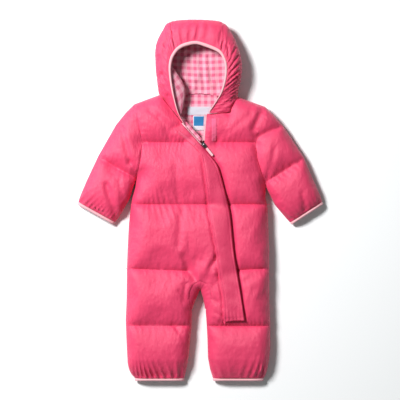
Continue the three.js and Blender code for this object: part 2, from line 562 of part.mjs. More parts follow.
// The crotch's point belongs to three blocks, so its inner point is the same in each.
const crotchInner = (c, r, part) => {
  if (r !== CROTCH_ROW) return rightFront.inner(c, r, part);
  const p = rightFrontPlan(c, r, part);
  const inside = c === 0 || c === RIGHT_COLUMNS ? rightFront.inner(c, r, 'body') : p;
  return { x: inside.x, y: inside.y, z: partingHeight(p.x, p.y) + LAYER_GAP / 2 };
};
addPiece('front_right', closedWall({
  blocks: [
    { name: 'body', columns: [0, RIGHT_COLUMNS], rows: [0, CROTCH_ROW] },
    { name: 'right leg', columns: [0, RIGHT_SPLIT], rows: [CROTCH_ROW, HEM_ROW] },
    { name: 'left leg', columns: [RIGHT_SPLIT, RIGHT_COLUMNS], rows: [CROTCH_ROW, KNEE_ROW] },
  ],
  rim: [
    { name: 'body', from: [0, 0], to: [0, CROTCH_ROW] },
    { name: 'right leg', from: [0, CROTCH_ROW], to: [0, HEM_ROW] },
    { name: 'right leg', from: [0, HEM_ROW], to: [RIGHT_SPLIT, HEM_ROW] },
    { name: 'right leg', from: [RIGHT_SPLIT, HEM_ROW], to: [RIGHT_SPLIT, CROTCH_ROW] },
    { name: 'left leg', from: [RIGHT_SPLIT, CROTCH_ROW], to: [RIGHT_SPLIT, KNEE_ROW] },
    { name: 'left leg', from: [RIGHT_SPLIT, KNEE_ROW], to: [RIGHT_COLUMNS, KNEE_ROW] },
    { name: 'left leg', from: [RIGHT_COLUMNS, KNEE_ROW], to: [RIGHT_COLUMNS, CROTCH_ROW] },
    { name: 'body', from: [RIGHT_COLUMNS, CROTCH_ROW], to: [RIGHT_COLUMNS, 0] },
    { name: 'body', from: [RIGHT_COLUMNS, 0], to: [0, 0] },
  ],
  outer: rightFront.outer,
  inner: crotchInner,
  stride: 2,
}), 'shell');

// Left front: from the neck and shoulder down to the end of the zip
const LEFT_COLUMNS = 14;
const leftFrontAcross = (c, y) => lerp(leftOfZip(y), leftEdge(y), spread(c, LEFT_COLUMNS, false, true));
const leftFrontPlan = panelPlan({
  top: topRow([
    { column: 0, point: below(LEFT_OPENING_EDGE[0]) },
    { column: 4, point: beside(below(NECK_LEFT_BEND), SEAM_GAP) },
    { column: 7, point: beside(below(NECK_LEFT), SEAM_GAP) },
    { column: LEFT_COLUMNS, point: beside(LEFT_ARMHOLE[0], -SEAM_GAP / 2) },
  ], (c) => leftFrontAcross(c, YOKE_BOTTOM)),
  across: leftFrontAcross,
  columns: LEFT_COLUMNS,
  lastRow: KNEE_ROW,
});
const leftFront = frontPoints(leftFrontPlan);
addPiece('front_left', gridWall(LEFT_COLUMNS, KNEE_ROW, leftFront.outer, leftFront.inner, 2), 'shell');

// Left front shin, below the end of the zip
const SHIN_COLUMNS = 18;
const shinPlan = (c, r) => {
  const y = level(KNEE_ROW + r) - (r === 0 ? SEAM_GAP : 0);
  return { x: lerp(leftLegEdge(y), leftEdge(y), spread(c, SHIN_COLUMNS, true, true)), y };
};
shinPlan.limits = () => ({ columns: [0, SHIN_COLUMNS], rows: [0, HEM_ROW - KNEE_ROW] });
const shin = frontPoints(shinPlan);
addPiece('front_left_shin', gridWall(SHIN_COLUMNS, HEM_ROW - KNEE_ROW, shin.outer, shin.inner, 2), 'shell');

// Backs, with a centre seam from the nape to the gusset
const BACK_COLUMNS = 10;
const BACK_CENTRE_X = 0.5;
function backPlan(side) {
  const right = side === 'right';
  const across = (c, y) => {
    const leg = y < CROTCH;
    const outerEdge = right ? rightEdge(y) : leftEdge(y);
    const centre = BACK_CENTRE_X + (right ? -SEAM_GAP / 2 : SEAM_GAP / 2);
    const innerEdge = leg ? (right ? rightLegEdge(y) : leftLegEdge(y)) : centre;
    return lerp(outerEdge, innerEdge, spread(c, BACK_COLUMNS, true, leg));
  };
  const shoulder = right ? beside(RIGHT_ARMHOLE[0], SEAM_GAP / 2) : beside(LEFT_ARMHOLE[0], -SEAM_GAP / 2);
  const nape = { x: across(BACK_COLUMNS, YOKE_BOTTOM), y: napeY(BACK_CENTRE_X) };
  return panelPlan({
    top: topRow([
      { column: 0, point: shoulder },
      { column: 5, point: below(right ? NECK_RIGHT : NECK_LEFT) },
      { column: BACK_COLUMNS, point: below(nape) },
    ], (c) => across(c, YOKE_BOTTOM)),
    across,
    columns: BACK_COLUMNS,
    lastRow: HEM_ROW,
  });
}
for (const side of ['right', 'left']) {
  const back = backPoints(backPlan(side));
  addPiece(`back_${side}`, gridWall(BACK_COLUMNS, HEM_ROW, back.outer, back.inner, 2), 'shell');
}

// Crotch gusset: a strip that runs up one inner leg, over the crotch and down the other,
// and wraps from the front round the edge to the back.
const GUSSET_EDGE_LEVELS = [-229, -214, -200, -193, -190];
const GUSSET_SEAM_LEVELS = [-229, -209, -190, -176, CROTCH];
const GUSSET_ROWS = 2 * (GUSSET_EDGE_LEVELS.length - 1);
function gussetEnds(row) {
  const right = row < GUSSET_EDGE_LEVELS.length;
  const i = right ? row : GUSSET_ROWS - row;
  const edgeY = GUSSET_EDGE_LEVELS[i];
  const seamY = GUSSET_SEAM_LEVELS[i];
  const edge = { x: readTable(right ? RIGHT_INSEAM : LEFT_INSEAM, edgeY, 'x'), y: edgeY };
  const table = right ? RIGHT_GUSSET_SEAM : LEFT_GUSSET_SEAM;
  const seam = { x: readTable(table, seamY, 'x'), y: seamY };
  const length = Math.hypot(edge.x - seam.x, edge.y - seam.y);
  return { seam: mix(seam, edge, 3 * SEAM_GAP / length), edge, length };
}
const GUSSET_ACROSS = [0, 0.5, 0.88, 1, 0.88, 0.5, 0];
const GUSSET_FOLD = 3;
function gussetOuter(c, r) {
  const { seam, edge } = gussetEnds(r);
  const p = mix(seam, edge, GUSSET_ACROSS[c]);
  if (c === GUSSET_FOLD) return { ...p, z: partingHeight(p.x, p.y) };
  return { ...p, z: c < GUSSET_FOLD ? topHeight(p.x, p.y) + LAYER_GAP / 2 : bottomHeight(p.x, p.y) };
}
function gussetInner(c, r) {
  const { seam, edge, length } = gussetEnds(r);
  const p = mix(seam, edge, GUSSET_ACROSS[c] * (1 - Math.min(EDGE_WALL / length, 0.4)));
  return { ...p, z: partingHeight(p.x, p.y) + Math.sign(GUSSET_FOLD - c) * LAYER_GAP / 2 };
}
addPiece('crotch_gusset', gridWall(6, GUSSET_ROWS, gussetOuter, gussetInner), 'shell');

// Sleeves: flattened tubes. Columns run over the top from the upper edge to the lower one, and back below.
const SLEEVE_ACROSS = [0, 0.02, 0.07, 0.16, 0.28, 0.4, 0.52, 0.64, 0.76, 0.86, 0.94, 0.985, 1];
const SLEEVE_ALONG = [0, 0.06, 0.15, 0.3, 0.4, 0.47, 0.5, 0.56, 0.66, 0.78, 0.88, 0.95, 1];
const SLEEVE_HALF = SLEEVE_ACROSS.length - 1;
const ARMHOLE_STOPS = [0, 6, 8, SLEEVE_HALF];
const BULGE_END = 0.5;
function sleevePlan(rows, armhole, outward) {
  const knots = armhole.map((k) => beside(k, outward * SEAM_GAP / 2));
  const first = { t: 0, upperX: knots[0].x, upperY: knots[0].y, lowerX: knots[3].x, lowerY: knots[3].y };
  const table = [first, ...rows];
  const stops = ARMHOLE_STOPS.map((column, i) => ({ column, point: knots[i] }));
  const armholePoint = topRow(stops, (c) => SLEEVE_ACROSS[c]);
  return (place, t) => {
    const at = (column) => readTable(table, t, column, 't');
    const w = SLEEVE_ACROSS[place];
    const straight = mix({ x: at('upperX'), y: at('upperY') }, { x: at('lowerX'), y: at('lowerY') }, w);
    const chord = mix(knots[0], knots[3], w);
    const curve = armholePoint(place);
    const share = clamp(1 - t / BULGE_END, 0, 1);
    return { x: straight.x + share * (curve.x - chord.x), y: straight.y + share * (curve.y - chord.y) };
  };
}
function sleeveWall(plan, along) {
  const fold = (c) => (c <= SLEEVE_HALF ? c : 2 * SLEEVE_HALF - c);
  const onFold = (c) => c === 0 || c === SLEEVE_HALF;
  const outer = (c, r) => {
    const p = plan(fold(c), along[r]);
    const low = partingHeight(p.x, p.y);
    if (onFold(c)) return { ...p, z: low };
    if (c > SLEEVE_HALF) return { ...p, z: Math.min(bottomHeight(p.x, p.y), low) };
    return { ...p, z: Math.max(topHeight(p.x, p.y) - gather(p.x, p.y, c), low) + LAYER_GAP / 2 };
  };
  const inner = (c, r) => {
    const edge = plan(fold(c), along[r]);
    const across = plan(onFold(c) ? SLEEVE_HALF / 2 : fold(c), along[r]);
    const length = Math.hypot(across.x - edge.x, across.y - edge.y);
    const p = onFold(c) ? mix(edge, across, EDGE_WALL / length) : edge;
    const low = partingHeight(p.x, p.y);
    if (onFold(c)) return { ...p, z: low };
    if (c > SLEEVE_HALF) return { ...p, z: low - LAYER_GAP / 2 };
    return { ...p, z: low + LAYER_GAP / 2 + hollowHeight(p.x, p.y) };
  };
  return { outer, inner };
}
const SLEEVES = [
  { side: 'right', rows: RIGHT_SLEEVE, armhole: RIGHT_ARMHOLE, outward: -1 },
  { side: 'left', rows: LEFT_SLEEVE, armhole: LEFT_ARMHOLE, outward: 1 },
];
for (const sleeve of SLEEVES) {
  const plan = sleevePlan(sleeve.rows, sleeve.armhole, sleeve.outward);
  const { outer, inner } = sleeveWall(plan, SLEEVE_ALONG);
  const rows = SLEEVE_ALONG.length - 1;
  addPiece(`sleeve_${sleeve.side}`, tubeWall(2 * SLEEVE_HALF, rows, outer, inner, 2), 'shell');

  // Elastic binding: carries the cuff's ring on past its edge
  const a = plan(0, 1);
  const b = plan(SLEEVE_HALF, 1);
  const length = Math.hypot(b.x - a.x, b.y - a.y);
  const out = { x: -sleeve.outward * (a.y - b.y) / length, y: -Math.abs(b.x - a.x) / length };
  const past = [SEAM_GAP, BINDING_LENGTH / 2, BINDING_LENGTH];
  const shifted = (point) => (c, r) => {
    const p = point(c, SLEEVE_ALONG.length - 1);
    return { x: p.x + out.x * past[r], y: p.y + out.y * past[r], z: p.z };
  };
  const cuff = sleeveWall((place) => plan(place, 1), SLEEVE_ALONG);
  addPiece(`cuff_binding_${sleeve.side}`,
    tubeWall(2 * SLEEVE_HALF, 2, shifted(cuff.outer), shifted(cuff.inner)), 'binding');
}

// Elastic bindings of the leg hems
const HEM_Y = ROW_LEVELS[ROW_LEVELS.length - 1];
for (const leg of [
  { side: 'right', from: RIGHT_SIDE, to: RIGHT_INSEAM },
  { side: 'left', from: LEFT_INSEAM, to: LEFT_SIDE },
]) {
  const start = { x: leg.from[leg.from.length - 1].x, y: HEM_Y };
  const end = { x: leg.to[leg.to.length - 1].x, y: HEM_Y };
  const hem = sleeveWall((place) => mix(start, end, SLEEVE_ACROSS[place]), [1]);
  const past = [SEAM_GAP, BINDING_LENGTH / 2, BINDING_LENGTH];
  const shifted = (point) => (c, r) => {
    const p = point(c, 0);
    return { x: p.x, y: p.y - past[r], z: p.z };
  };
  addPiece(`hem_binding_${leg.side}`,
    tubeWall(2 * SLEEVE_HALF, 2, shifted(hem.outer), shifted(hem.inner)), 'binding');
}

// The hood's section at a place between two rows of its table
function hoodSection(station) {
  const i = Math.min(Math.floor(station), LAST_STATION - 1);
  const section = {};
  for (const key of Object.keys(HOOD[0])) {
    section[key] = lerp(HOOD[i][key], HOOD[i + 1][key], station - i);
  }
  return section;
}
// A point of the hood's wall. turn goes from 0 at the rim to 1 at the outline and 2 below, at `back`.
const BELLY = { x: 0.66, y: -0.75 };   // the folds on the left bulge this way
const INNER_BELLY = 0.75;               // and the inner wall by this share of it
const RIM_TURN = 0.25;                  // how far the inner wall steps out from the rim
function hoodPoint(station, turn, back, depth, floor, slope) {
  const s = hoodSection(station);
  const length = Math.hypot(s.edgeX - s.rimX, s.edgeY - s.rimY);
  const out = { x: (s.edgeX - s.rimX) / length, y: (s.edgeY - s.rimY) / length };
  const rim = { x: s.rimX + out.x * depth * RIM_TURN, y: s.rimY + out.y * depth * RIM_TURN };
  const edge = { x: s.edgeX - out.x * depth, y: s.edgeY - out.y * depth };
  const lowest = (x) => napeY(x) + SEAM_GAP * (1 + 2 * depth / HOOD_WALL);
  if (turn <= 1) {
    const sine = Math.sin(turn * Math.PI / 2);
    const cosine = Math.cos(turn * Math.PI / 2);
    const bulge = s.belly * (depth === 0 ? 1 : INNER_BELLY) * (1 - Math.abs(2 * sine - 1));
    const p = mix(rim, edge, sine);
    const height = s.rimZ - RIM_DROP * depth - s.edgeZ;
    const y = p.y + BELLY.y * bulge;
    const kept = turn === 1 ? Math.max(y, lowest(p.x)) : y;
    return { x: p.x + BELLY.x * bulge, y: kept, z: s.edgeZ + height * cosine };
  }
  const p = mix(edge, back, turn - 1);
  const round = depth === 0
    ? rounding(nearest(HOOD_OUTLINE, p.x, p.y), HOOD_EDGE_ROUND)
    : clamp(Math.hypot(p.x - edge.x, p.y - edge.y) / slope, 0, 1);
  return { x: p.x, y: Math.max(p.y, lowest(p.x)), z: s.edgeZ + (floor - s.edgeZ) * round };
}
const HOOD_TURNS = [0, 1 / 6, 1 / 3, 0.55, 0.78, 1, 1.12, 1.3, 1.55, 1.8, 2];
const CENTRE_TURNS = [0, 1 / 6, 1 / 3, 0.55, 0.78, 1, 1.04, 1.1, 1.2, 1.4, 1.6, 1.8, 2];
const SEAM_STEP = 0.015;               // half a seam's gap, in stations
const UNDER_GAP = 0.5;                 // half the gap between hood pieces below
const napeAt = (x) => ({ x, y: napeY(x) + SEAM_GAP });
function hoodPiece(name, stations, turns, backOf, depths, colour, bulgeOf = () => 0) {
  const point = ({ depth, floor, slope }) => (c, r) => {
    const p = hoodPoint(stations[c], turns[r], backOf(stations[c]), depth, floor, slope);
    return { ...p, x: p.x + bulgeOf(stations[c], turns[r]) };
  };
  const outer = point(depths.outer);
  const inner = point(depths.inner);
  addPiece(name, gridWall(stations.length - 1, turns.length - 1, outer, inner), colour);
}
const stationsBetween = (from, to, count) => (
  Array.from({ length: count + 1 }, (unused, i) => lerp(from, to, i / count)));
const WALL_SLOPE = 14;                 // how far in the inner wall comes down to its floor
const LINING_SLOPE = 21;
const padded = {
  outer: { depth: 0, floor: 0 },
  inner: { depth: HOOD_WALL, floor: HOOD_BACK_WALL, slope: WALL_SLOPE },
};
const UNDER_SEAM_START = 0.07;         // where the hood's seams start below, from outline to nape
const cornerBelow = (station, nape) => {
  const row = HOOD[station];
  return mix({ x: row.edgeX, y: row.edgeY }, napeAt(nape), UNDER_SEAM_START);
};
const rightUnder = (station) => beside(mix(
  napeAt(NAPE_RIGHT_X), cornerBelow(SEAM_RIGHT_STATION, NAPE_RIGHT_X), station / SEAM_RIGHT_STATION,
), -UNDER_GAP);
const leftUnder = (station) => beside(mix(
  cornerBelow(SEAM_LEFT_STATION, NAPE_LEFT_X), napeAt(NAPE_LEFT_X),
  (station - SEAM_LEFT_STATION) / (LAST_STATION - SEAM_LEFT_STATION),
), UNDER_GAP);
const centreUnder = (station) => napeAt(lerp(
  NAPE_RIGHT_X, NAPE_LEFT_X,
  (station - SEAM_RIGHT_STATION) / (SEAM_LEFT_STATION - SEAM_RIGHT_STATION),
));
hoodPiece('hood_side_right', stationsBetween(0, SEAM_RIGHT_STATION - SEAM_STEP, 14),
  HOOD_TURNS, rightUnder, padded, 'shell');
hoodPiece('hood_centre', stationsBetween(SEAM_RIGHT_STATION + SEAM_STEP, SEAM_LEFT_STATION - SEAM_STEP, 10),
  CENTRE_TURNS, centreUnder, padded, 'shell');
hoodPiece('hood_side_left', stationsBetween(SEAM_LEFT_STATION + SEAM_STEP, LAST_STATION, 12),
  HOOD_TURNS, leftUnder, padded, 'shell');

// Fleece lining of the hood, in two halves. The right one sags in under the rim.
const LINING_GAP = 1.1;                // the lining is this far inside the shell
const liningDepths = {
  outer: { depth: HOOD_WALL + LINING_GAP, floor: HOOD_BACK_WALL + LINING_GAP, slope: LINING_SLOPE },
  inner: {
    depth: HOOD_WALL + LINING_GAP + LINING,
    floor: HOOD_BACK_WALL + LINING_GAP + LINING,
    slope: LINING_SLOPE,
  },
};
const LEFT_STATIONS = LAST_STATION - CREST_STATION;
const liningUnder = (station) => {
  const top = { x: LINING_CENTRE_X, y: LINING_TOP_Y };
  const right = station < CREST_STATION;
  const away = right ? 1 - station / CREST_STATION : (station - CREST_STATION) / LEFT_STATIONS;
  return beside(mix(top, napeAt(LINING_CENTRE_X), away), right ? -0.4 : 0.4);
};
const bump = (place, centre, reach) => Math.max(0, 1 - ((place - centre) / reach) ** 2) ** 2;
const rightSag = (station, turn) => LINING_SAG * bump(station, 1.8, 3.2) * bump(turn, 0.75, 0.6);
const LINING_START = 0.25;              // the lining starts this part of a station in from the neck
hoodPiece('hood_lining_right', stationsBetween(LINING_START, CREST_STATION - SEAM_STEP, 14),
  CENTRE_TURNS, liningUnder, liningDepths, 'lining', rightSag);
hoodPiece('hood_lining_left', stationsBetween(CREST_STATION + SEAM_STEP, LAST_STATION - LINING_START, 12),
  CENTRE_TURNS, liningUnder, liningDepths, 'lining');

// A solid swept through rings of points, with flat ends
function sweptSolid(rings) {
  const positions = [];
  const triangle = (...points) => points.forEach((p) => positions.push(p.x, p.y, p.z));
  const count = rings[0].length;
  for (let i = 0; i + 1 < rings.length; i += 1) {
    for (let k = 0; k < count; k += 1) {
      const next = (k + 1) % count;
      triangle(rings[i][k], rings[i + 1][k], rings[i + 1][next]);
      triangle(rings[i][k], rings[i + 1][next], rings[i][next]);
    }
  }
  const last = rings[rings.length - 1];
  for (let k = 1; k + 1 < count; k += 1) {
    triangle(rings[0][0], rings[0][k], rings[0][k + 1]);
    triangle(last[0], last[k + 1], last[k]);
  }
  return closedGeometry(positions);
}

// Elastic binding of the face opening: a flattened roll just inside the hood's rim
const BINDING_SIDES = 8;
const BINDING_END = 0.3;                // it ends this part of a station short of the seam
const BINDING_SINK = 1.5;               // its middle is this far below the rim
const bindingRings = stationsBetween(0, LAST_STATION - BINDING_END, 44).map((station) => {
  const s = hoodSection(station);
  const length = Math.hypot(s.edgeX - s.rimX, s.edgeY - s.rimY);
  const out = { x: (s.edgeX - s.rimX) / length, y: (s.edgeY - s.rimY) / length };
  return Array.from({ length: BINDING_SIDES }, (unused, k) => {
    const angle = 2 * Math.PI * k / BINDING_SIDES;
    const inward = BINDING_HALF * (1 + Math.cos(angle)) + SEAM_GAP;
    const z = s.rimZ - BINDING_SINK + BINDING_THICK * Math.sin(angle);
    return { x: s.rimX - out.x * inward, y: s.rimY - out.y * inward, z };
  });
});
addPiece('hood_binding', sweptSolid(bindingRings), 'binding');

// Storm flap: lies on both fronts over the zip. Its free edge stands up a little.
const FLAP_COLUMNS = 4;
const FLAP_ROWS = 40;
const FLAP_PLACES = FLAP.map((row, i) => ({ ...row, place: i / (FLAP.length - 1) }));
function flapPlan(c, r) {
  const at = (column) => readTable(FLAP_PLACES, r / FLAP_ROWS, column, 'place');
  return mix({ x: at('leftX'), y: at('leftY') }, { x: at('rightX'), y: at('rightY') }, c / FLAP_COLUMNS);
}
function flapHeight(c, r) {
  const p = flapPlan(c, r);
  const down = clamp((r / FLAP_ROWS - 0.3) / 0.2, 0, 1);
  return topHeight(p.x, p.y) + FLAP_LIFT + FLAP_FREE_LIFT * down * (c / FLAP_COLUMNS) ** 2;
}
const flapTop = (c, r) => ({ ...flapPlan(c, r), z: flapHeight(c, r) + FLAP_WALL });
const flapUnder = (c, r) => ({ ...flapPlan(c, r), z: flapHeight(c, r) });
addPiece('storm_flap', gridWall(FLAP_COLUMNS, FLAP_ROWS, flapTop, flapUnder), 'shell');

// A thin tape that lies over a straight run on a surface
function tapeWall({ from, to, width, columns, rows, height, thick = TAPE }) {
  const length = Math.hypot(to.x - from.x, to.y - from.y);
  const side = { x: -(to.y - from.y) / length, y: (to.x - from.x) / length };
  const plan = (c, r) => {
    const p = mix(from, to, r / rows);
    const out = width * (c / columns - 0.5);
    return { x: p.x + side.x * out, y: p.y + side.y * out };
  };
  const at = (lift) => (c, r) => {
    const p = plan(c, r);
    return { ...p, z: height(p.x, p.y) + lift };
  };
  return gridWall(columns, rows, at(thick), at(0));
}
addPiece('flap_hook_tape', tapeWall({
  from: { x: -45.5, y: 142.2 }, to: { x: -9.5, y: 115.5 }, width: 6.5, columns: 2, rows: 8,
  height: (x, y) => topHeight(x, y) + FLAP_LIFT + FLAP_WALL + 0.6,
}), 'tape');
addPiece('front_loop_tape', tapeWall({
  from: { x: 29.5, y: 171 }, to: { x: 29.5, y: 123 }, width: 10, columns: 2, rows: 8,
  height: (x, y) => topHeight(x, y) + 1,
}), 'tape');

// Zip tapes on the edges of the opening
addPiece('zip_tape_right', tapeWall({
  from: { x: -38.4, y: 159.2 }, to: { x: 0.6, y: 116.6 }, width: 3.4, columns: 1, rows: 8,
  height: (x, y) => topHeight(x, y) + 0.9,
}), 'binding');
addPiece('zip_tape_left', tapeWall({
  from: { x: 12.3, y: 179 }, to: { x: 7.4, y: 124 }, width: 4, columns: 1, rows: 8,
  height: (x, y) => topHeight(x, y) - 2.5,
}), 'binding');
// Fleece facing under the right front's edge
addPiece('zip_facing', tapeWall({
  from: { x: -31.2, y: 161.4 }, to: { x: 2.2, y: 124.7 }, width: 8, columns: 2, rows: 8,
  height: (x, y) => topHeight(x, y) - 6, thick: LINING,
}), 'lining');

// Back neck lining and the two plain labels on it
const LINING_REST = PARTING - LAYER_GAP / 2 + SEAM_GAP;
const flatRun = (from, to, width, rest, thick) => tapeWall({
  from, to, width, columns: 2, rows: 4, height: () => rest, thick,
});
addPiece('neck_lining', flatRun({ x: -5, y: 218 }, { x: -5, y: 122 }, 84, LINING_REST, LINING), 'lining');
const LABEL_REST = LINING_REST + LINING + SEAM_GAP;
addPiece('neck_label', flatRun({ x: -1, y: 196.5 }, { x: -1, y: 178.5 }, 50, LABEL_REST, TAPE), 'label');
addPiece('size_label', flatRun({ x: -2, y: 177.8 }, { x: -2, y: 146 }, 25, LABEL_REST, TAPE), 'tab');

// Zip slider at the bottom of the opening, and the pull that turns on it
const ZIP_ANGLE = -51;                 // the zip's direction here, from +X, in degrees
const SLIDER = { x: 8.4, y: 115.2, length: 13, width: 7.5, height: 3.4, lift: 1.1 };
const BRIDGE = { length: 6, height: 4.2, width: 2.4, wall: 0.9, sunk: 0.3 };
const PULL = { lift: 6.3, ringLength: 7.4, ringWidth: 5.6, wire: 1 };
const GRIP = { start: 4.8, length: 21, width: 5, height: 2.6 };
const sliderTop = topHeight(SLIDER.x, SLIDER.y);
function turned(geometry, x, y, z) {
  geometry.rotateZ(THREE.MathUtils.degToRad(ZIP_ANGLE));
  geometry.translate(x, y, z);
  return closedGeometry(Array.from(geometry.toNonIndexed().getAttribute('position').array));
}
function roundedBar(length, width, height, bevel) {
  const shape = new THREE.Shape();
  const radius = width / 2 - bevel;
  shape.absarc(length - width / 2, 0, radius, -Math.PI / 2, Math.PI / 2, false);
  shape.absarc(width / 2, 0, radius, Math.PI / 2, 1.5 * Math.PI, false);
  shape.closePath();
  return new THREE.ExtrudeGeometry(shape, {
    depth: height - 2 * bevel, bevelEnabled: true, bevelSize: bevel, bevelThickness: bevel,
    bevelSegments: 1, curveSegments: 6,
  });
}
// Joins two closed solids into one.
const wasm = await Module();
wasm.setup();
function joined(a, b) {
  const [first, second] = [a, b].map((geometry) => new wasm.Manifold(new wasm.Mesh({
    numProp: 3,
    vertProperties: new Float32Array(geometry.getAttribute('position').array),
    triVerts: new Uint32Array(geometry.getIndex().array),
  })));
  const mesh = first.add(second).getMesh();
  const corners = Array.from(mesh.triVerts);
  const at = (i) => Array.from(mesh.vertProperties.slice(3 * i, 3 * i + 3));
  return closedGeometry(corners.flatMap(at));
}
const sliderBar = roundedBar(SLIDER.length, SLIDER.width, SLIDER.height, 0.7);
sliderBar.translate(-SLIDER.length / 2, 0, 0.7);
const sliderBody = turned(sliderBar, SLIDER.x, SLIDER.y, sliderTop + SLIDER.lift);

// The bridge holds the pull's ring: an arch along the zip, with the ring's wire in its tunnel.
const arch = new THREE.Shape();
const archLeft = -BRIDGE.length / 2;
arch.moveTo(archLeft, 0);
arch.lineTo(-archLeft, 0);
arch.lineTo(-archLeft, BRIDGE.height * 0.55);
arch.quadraticCurveTo(-archLeft, BRIDGE.height, 0, BRIDGE.height);
arch.quadraticCurveTo(archLeft, BRIDGE.height, archLeft, BRIDGE.height * 0.55);
arch.closePath();
const tunnel = new THREE.Path();
tunnel.absellipse(0, BRIDGE.height / 2, BRIDGE.length / 2 - BRIDGE.wall,
  BRIDGE.height / 2 - BRIDGE.wall * 0.75, 0, 2 * Math.PI, true);
arch.holes.push(tunnel);
const bridge = new THREE.ExtrudeGeometry(arch, { depth: BRIDGE.width, bevelEnabled: false, curveSegments: 8 });
bridge.translate(0, 0, -BRIDGE.width / 2);
bridge.rotateX(Math.PI / 2);
const bridgeZ = sliderTop + SLIDER.lift + SLIDER.height - BRIDGE.sunk;
const sliderBridge = turned(bridge, SLIDER.x, SLIDER.y, bridgeZ);
addPiece('zip_slider', joined(sliderBody, sliderBridge), 'metal');

const pullZ = sliderTop + PULL.lift;
const ring = new THREE.TorusGeometry(PULL.ringWidth / 2, PULL.wire / 2, 6, 20);
ring.scale(PULL.ringLength / PULL.ringWidth, 1, 1);
ring.translate(PULL.ringLength / 2, 0, 0);
addPiece('pull_bail', turned(ring, SLIDER.x, SLIDER.y, pullZ), 'metal');
const grip = roundedBar(GRIP.length, GRIP.width, GRIP.height, 0.6);
grip.translate(GRIP.start + PULL.ringLength / 2, 0, 0.6 - GRIP.height / 2);
addPiece('pull_grip', turned(grip, SLIDER.x, SLIDER.y, pullZ), 'binding');

export default group;
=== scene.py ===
# %% [markdown]
# # Baby snowsuit, laid flat
#
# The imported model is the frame: every piece below sits where its solid sits, in metres, with +Y up the
# body and +Z up from the table. The solids are plain; this script makes what is seen of them.
#
# The suit is padded nylon, quilted across the body. Its top surface is one height over the table, so
# one function gives it for all the front pieces. Cloth simulation then adds the puckers that the quilting
# seams draw in the loose shell.

import bmesh
import bpy
import numpy as np
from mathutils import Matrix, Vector
from mathutils.bvhtree import BVHTree
from mathutils.kdtree import KDTree


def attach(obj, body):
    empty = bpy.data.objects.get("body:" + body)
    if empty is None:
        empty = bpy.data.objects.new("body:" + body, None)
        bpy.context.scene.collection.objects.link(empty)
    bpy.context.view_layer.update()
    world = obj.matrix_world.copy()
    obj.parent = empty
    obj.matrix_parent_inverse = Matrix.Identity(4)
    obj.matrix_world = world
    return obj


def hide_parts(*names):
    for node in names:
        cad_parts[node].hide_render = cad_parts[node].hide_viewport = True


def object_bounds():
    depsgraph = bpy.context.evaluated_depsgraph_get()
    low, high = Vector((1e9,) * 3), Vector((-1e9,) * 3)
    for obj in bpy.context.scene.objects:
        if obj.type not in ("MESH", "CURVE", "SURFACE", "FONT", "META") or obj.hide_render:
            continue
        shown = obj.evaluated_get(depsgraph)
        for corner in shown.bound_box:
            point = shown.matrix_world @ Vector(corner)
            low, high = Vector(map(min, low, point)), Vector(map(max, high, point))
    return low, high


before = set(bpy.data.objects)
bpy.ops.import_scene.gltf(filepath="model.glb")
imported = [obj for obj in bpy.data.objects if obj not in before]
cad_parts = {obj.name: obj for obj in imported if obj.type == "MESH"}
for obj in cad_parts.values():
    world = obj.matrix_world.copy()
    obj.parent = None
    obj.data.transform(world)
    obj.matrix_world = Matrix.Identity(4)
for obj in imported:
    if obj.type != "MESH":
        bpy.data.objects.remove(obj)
low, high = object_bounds()
solid_box = [list(low), list(high)]
MM = 0.001
print("solid box in mm:", [[round(v / MM) for v in corner] for corner in solid_box])

# %% [markdown]
# ## The cut, from the same tables as the solids
#
# A padded suit starts as a pattern: flat pieces whose edges are seams. It could be modelled by eye, but
# then seams would not meet. Here each seam is a table with a row for a place along it, in millimetres as
# on a pattern sheet, and both pieces at a seam read the same rows.
#
# QUILTING holds the stitched lines, FOLDS the single creases, and GATHERS the lines where fabric is drawn
# in.

# %% Tables of the body
SEAM_GAP = 0.3
PARTING = 16.5
LAYER_GAP = 0.5
FRONT_EDGE_ROUND = 27
BACK_EDGE_ROUND = 17
QUILT_DEPTH = 8
QUILT_REACH = 8
BACK_QUILT_DEPTH = 3
BACK_QUILT_REACH = 5
SLEEVE_SINK = 7
CUFF_SINK = 13
NECK_HOLLOW = 14
NECK_HOLLOW_REACH = 62
CUFF_HOLLOW = 3
CUFF_HOLLOW_REACH = 34
END_DROP = 8
YOKE_BOTTOM = 120.8
WAIST = -9.5
HIP = -146
CROTCH = -169
GUSSET_END = -232
KNEE = -264
HEM = -375
SLIDER_Y = 114.5


def table(columns, *rows):
    """A dictionary of columns from rows of numbers."""
    return {c: np.array([float(r[i]) for r in rows]) for i, c in enumerate(columns)}


RIGHT_SIDE = table(
    ("y", "x"), (47.3, -133.4), (28, -136), (5, -142.5), (-16, -146), (-54, -150), (-104, -152.5),
    (-146, -154), (-205, -154.5), (-255, -156.5), (-293, -155), (-343, -152.5), (-356, -150),
    (-368, -144.5), (-375, -137.5),
)
LEFT_SIDE = table(
    ("y", "x"), (28.4, 138.6), (5, 138), (-16, 142.5), (-54, 144), (-104, 146), (-205, 146),
    (-255, 148), (-310, 148), (-343, 144.5), (-356, 142), (-368, 138.5), (-375, 135),
)
RIGHT_INSEAM = table(
    ("y", "x"), (-190, 0.2), (-205, -7), (-217, -12), (-232, -15.8), (-264, -17.5), (-293, -20),
    (-331, -24), (-356, -28.5), (-375, -33),
)
LEFT_INSEAM = table(
    ("y", "x"), (-190, 0.8), (-205, 6), (-217, 8.5), (-232, 11), (-264, 14), (-293, 15.5),
    (-331, 16.5), (-356, 21), (-375, 27),
)
RIGHT_GUSSET_SEAM = table(
    ("y", "x"), (-169, 0.5), (-176, -13), (-190, -20.5), (-209, -23), (-232, -16.5),
)
LEFT_GUSSET_SEAM = table(
    ("y", "x"), (-169, 0.5), (-176, 15), (-190, 22), (-209, 23.5), (-232, 11.7),
)
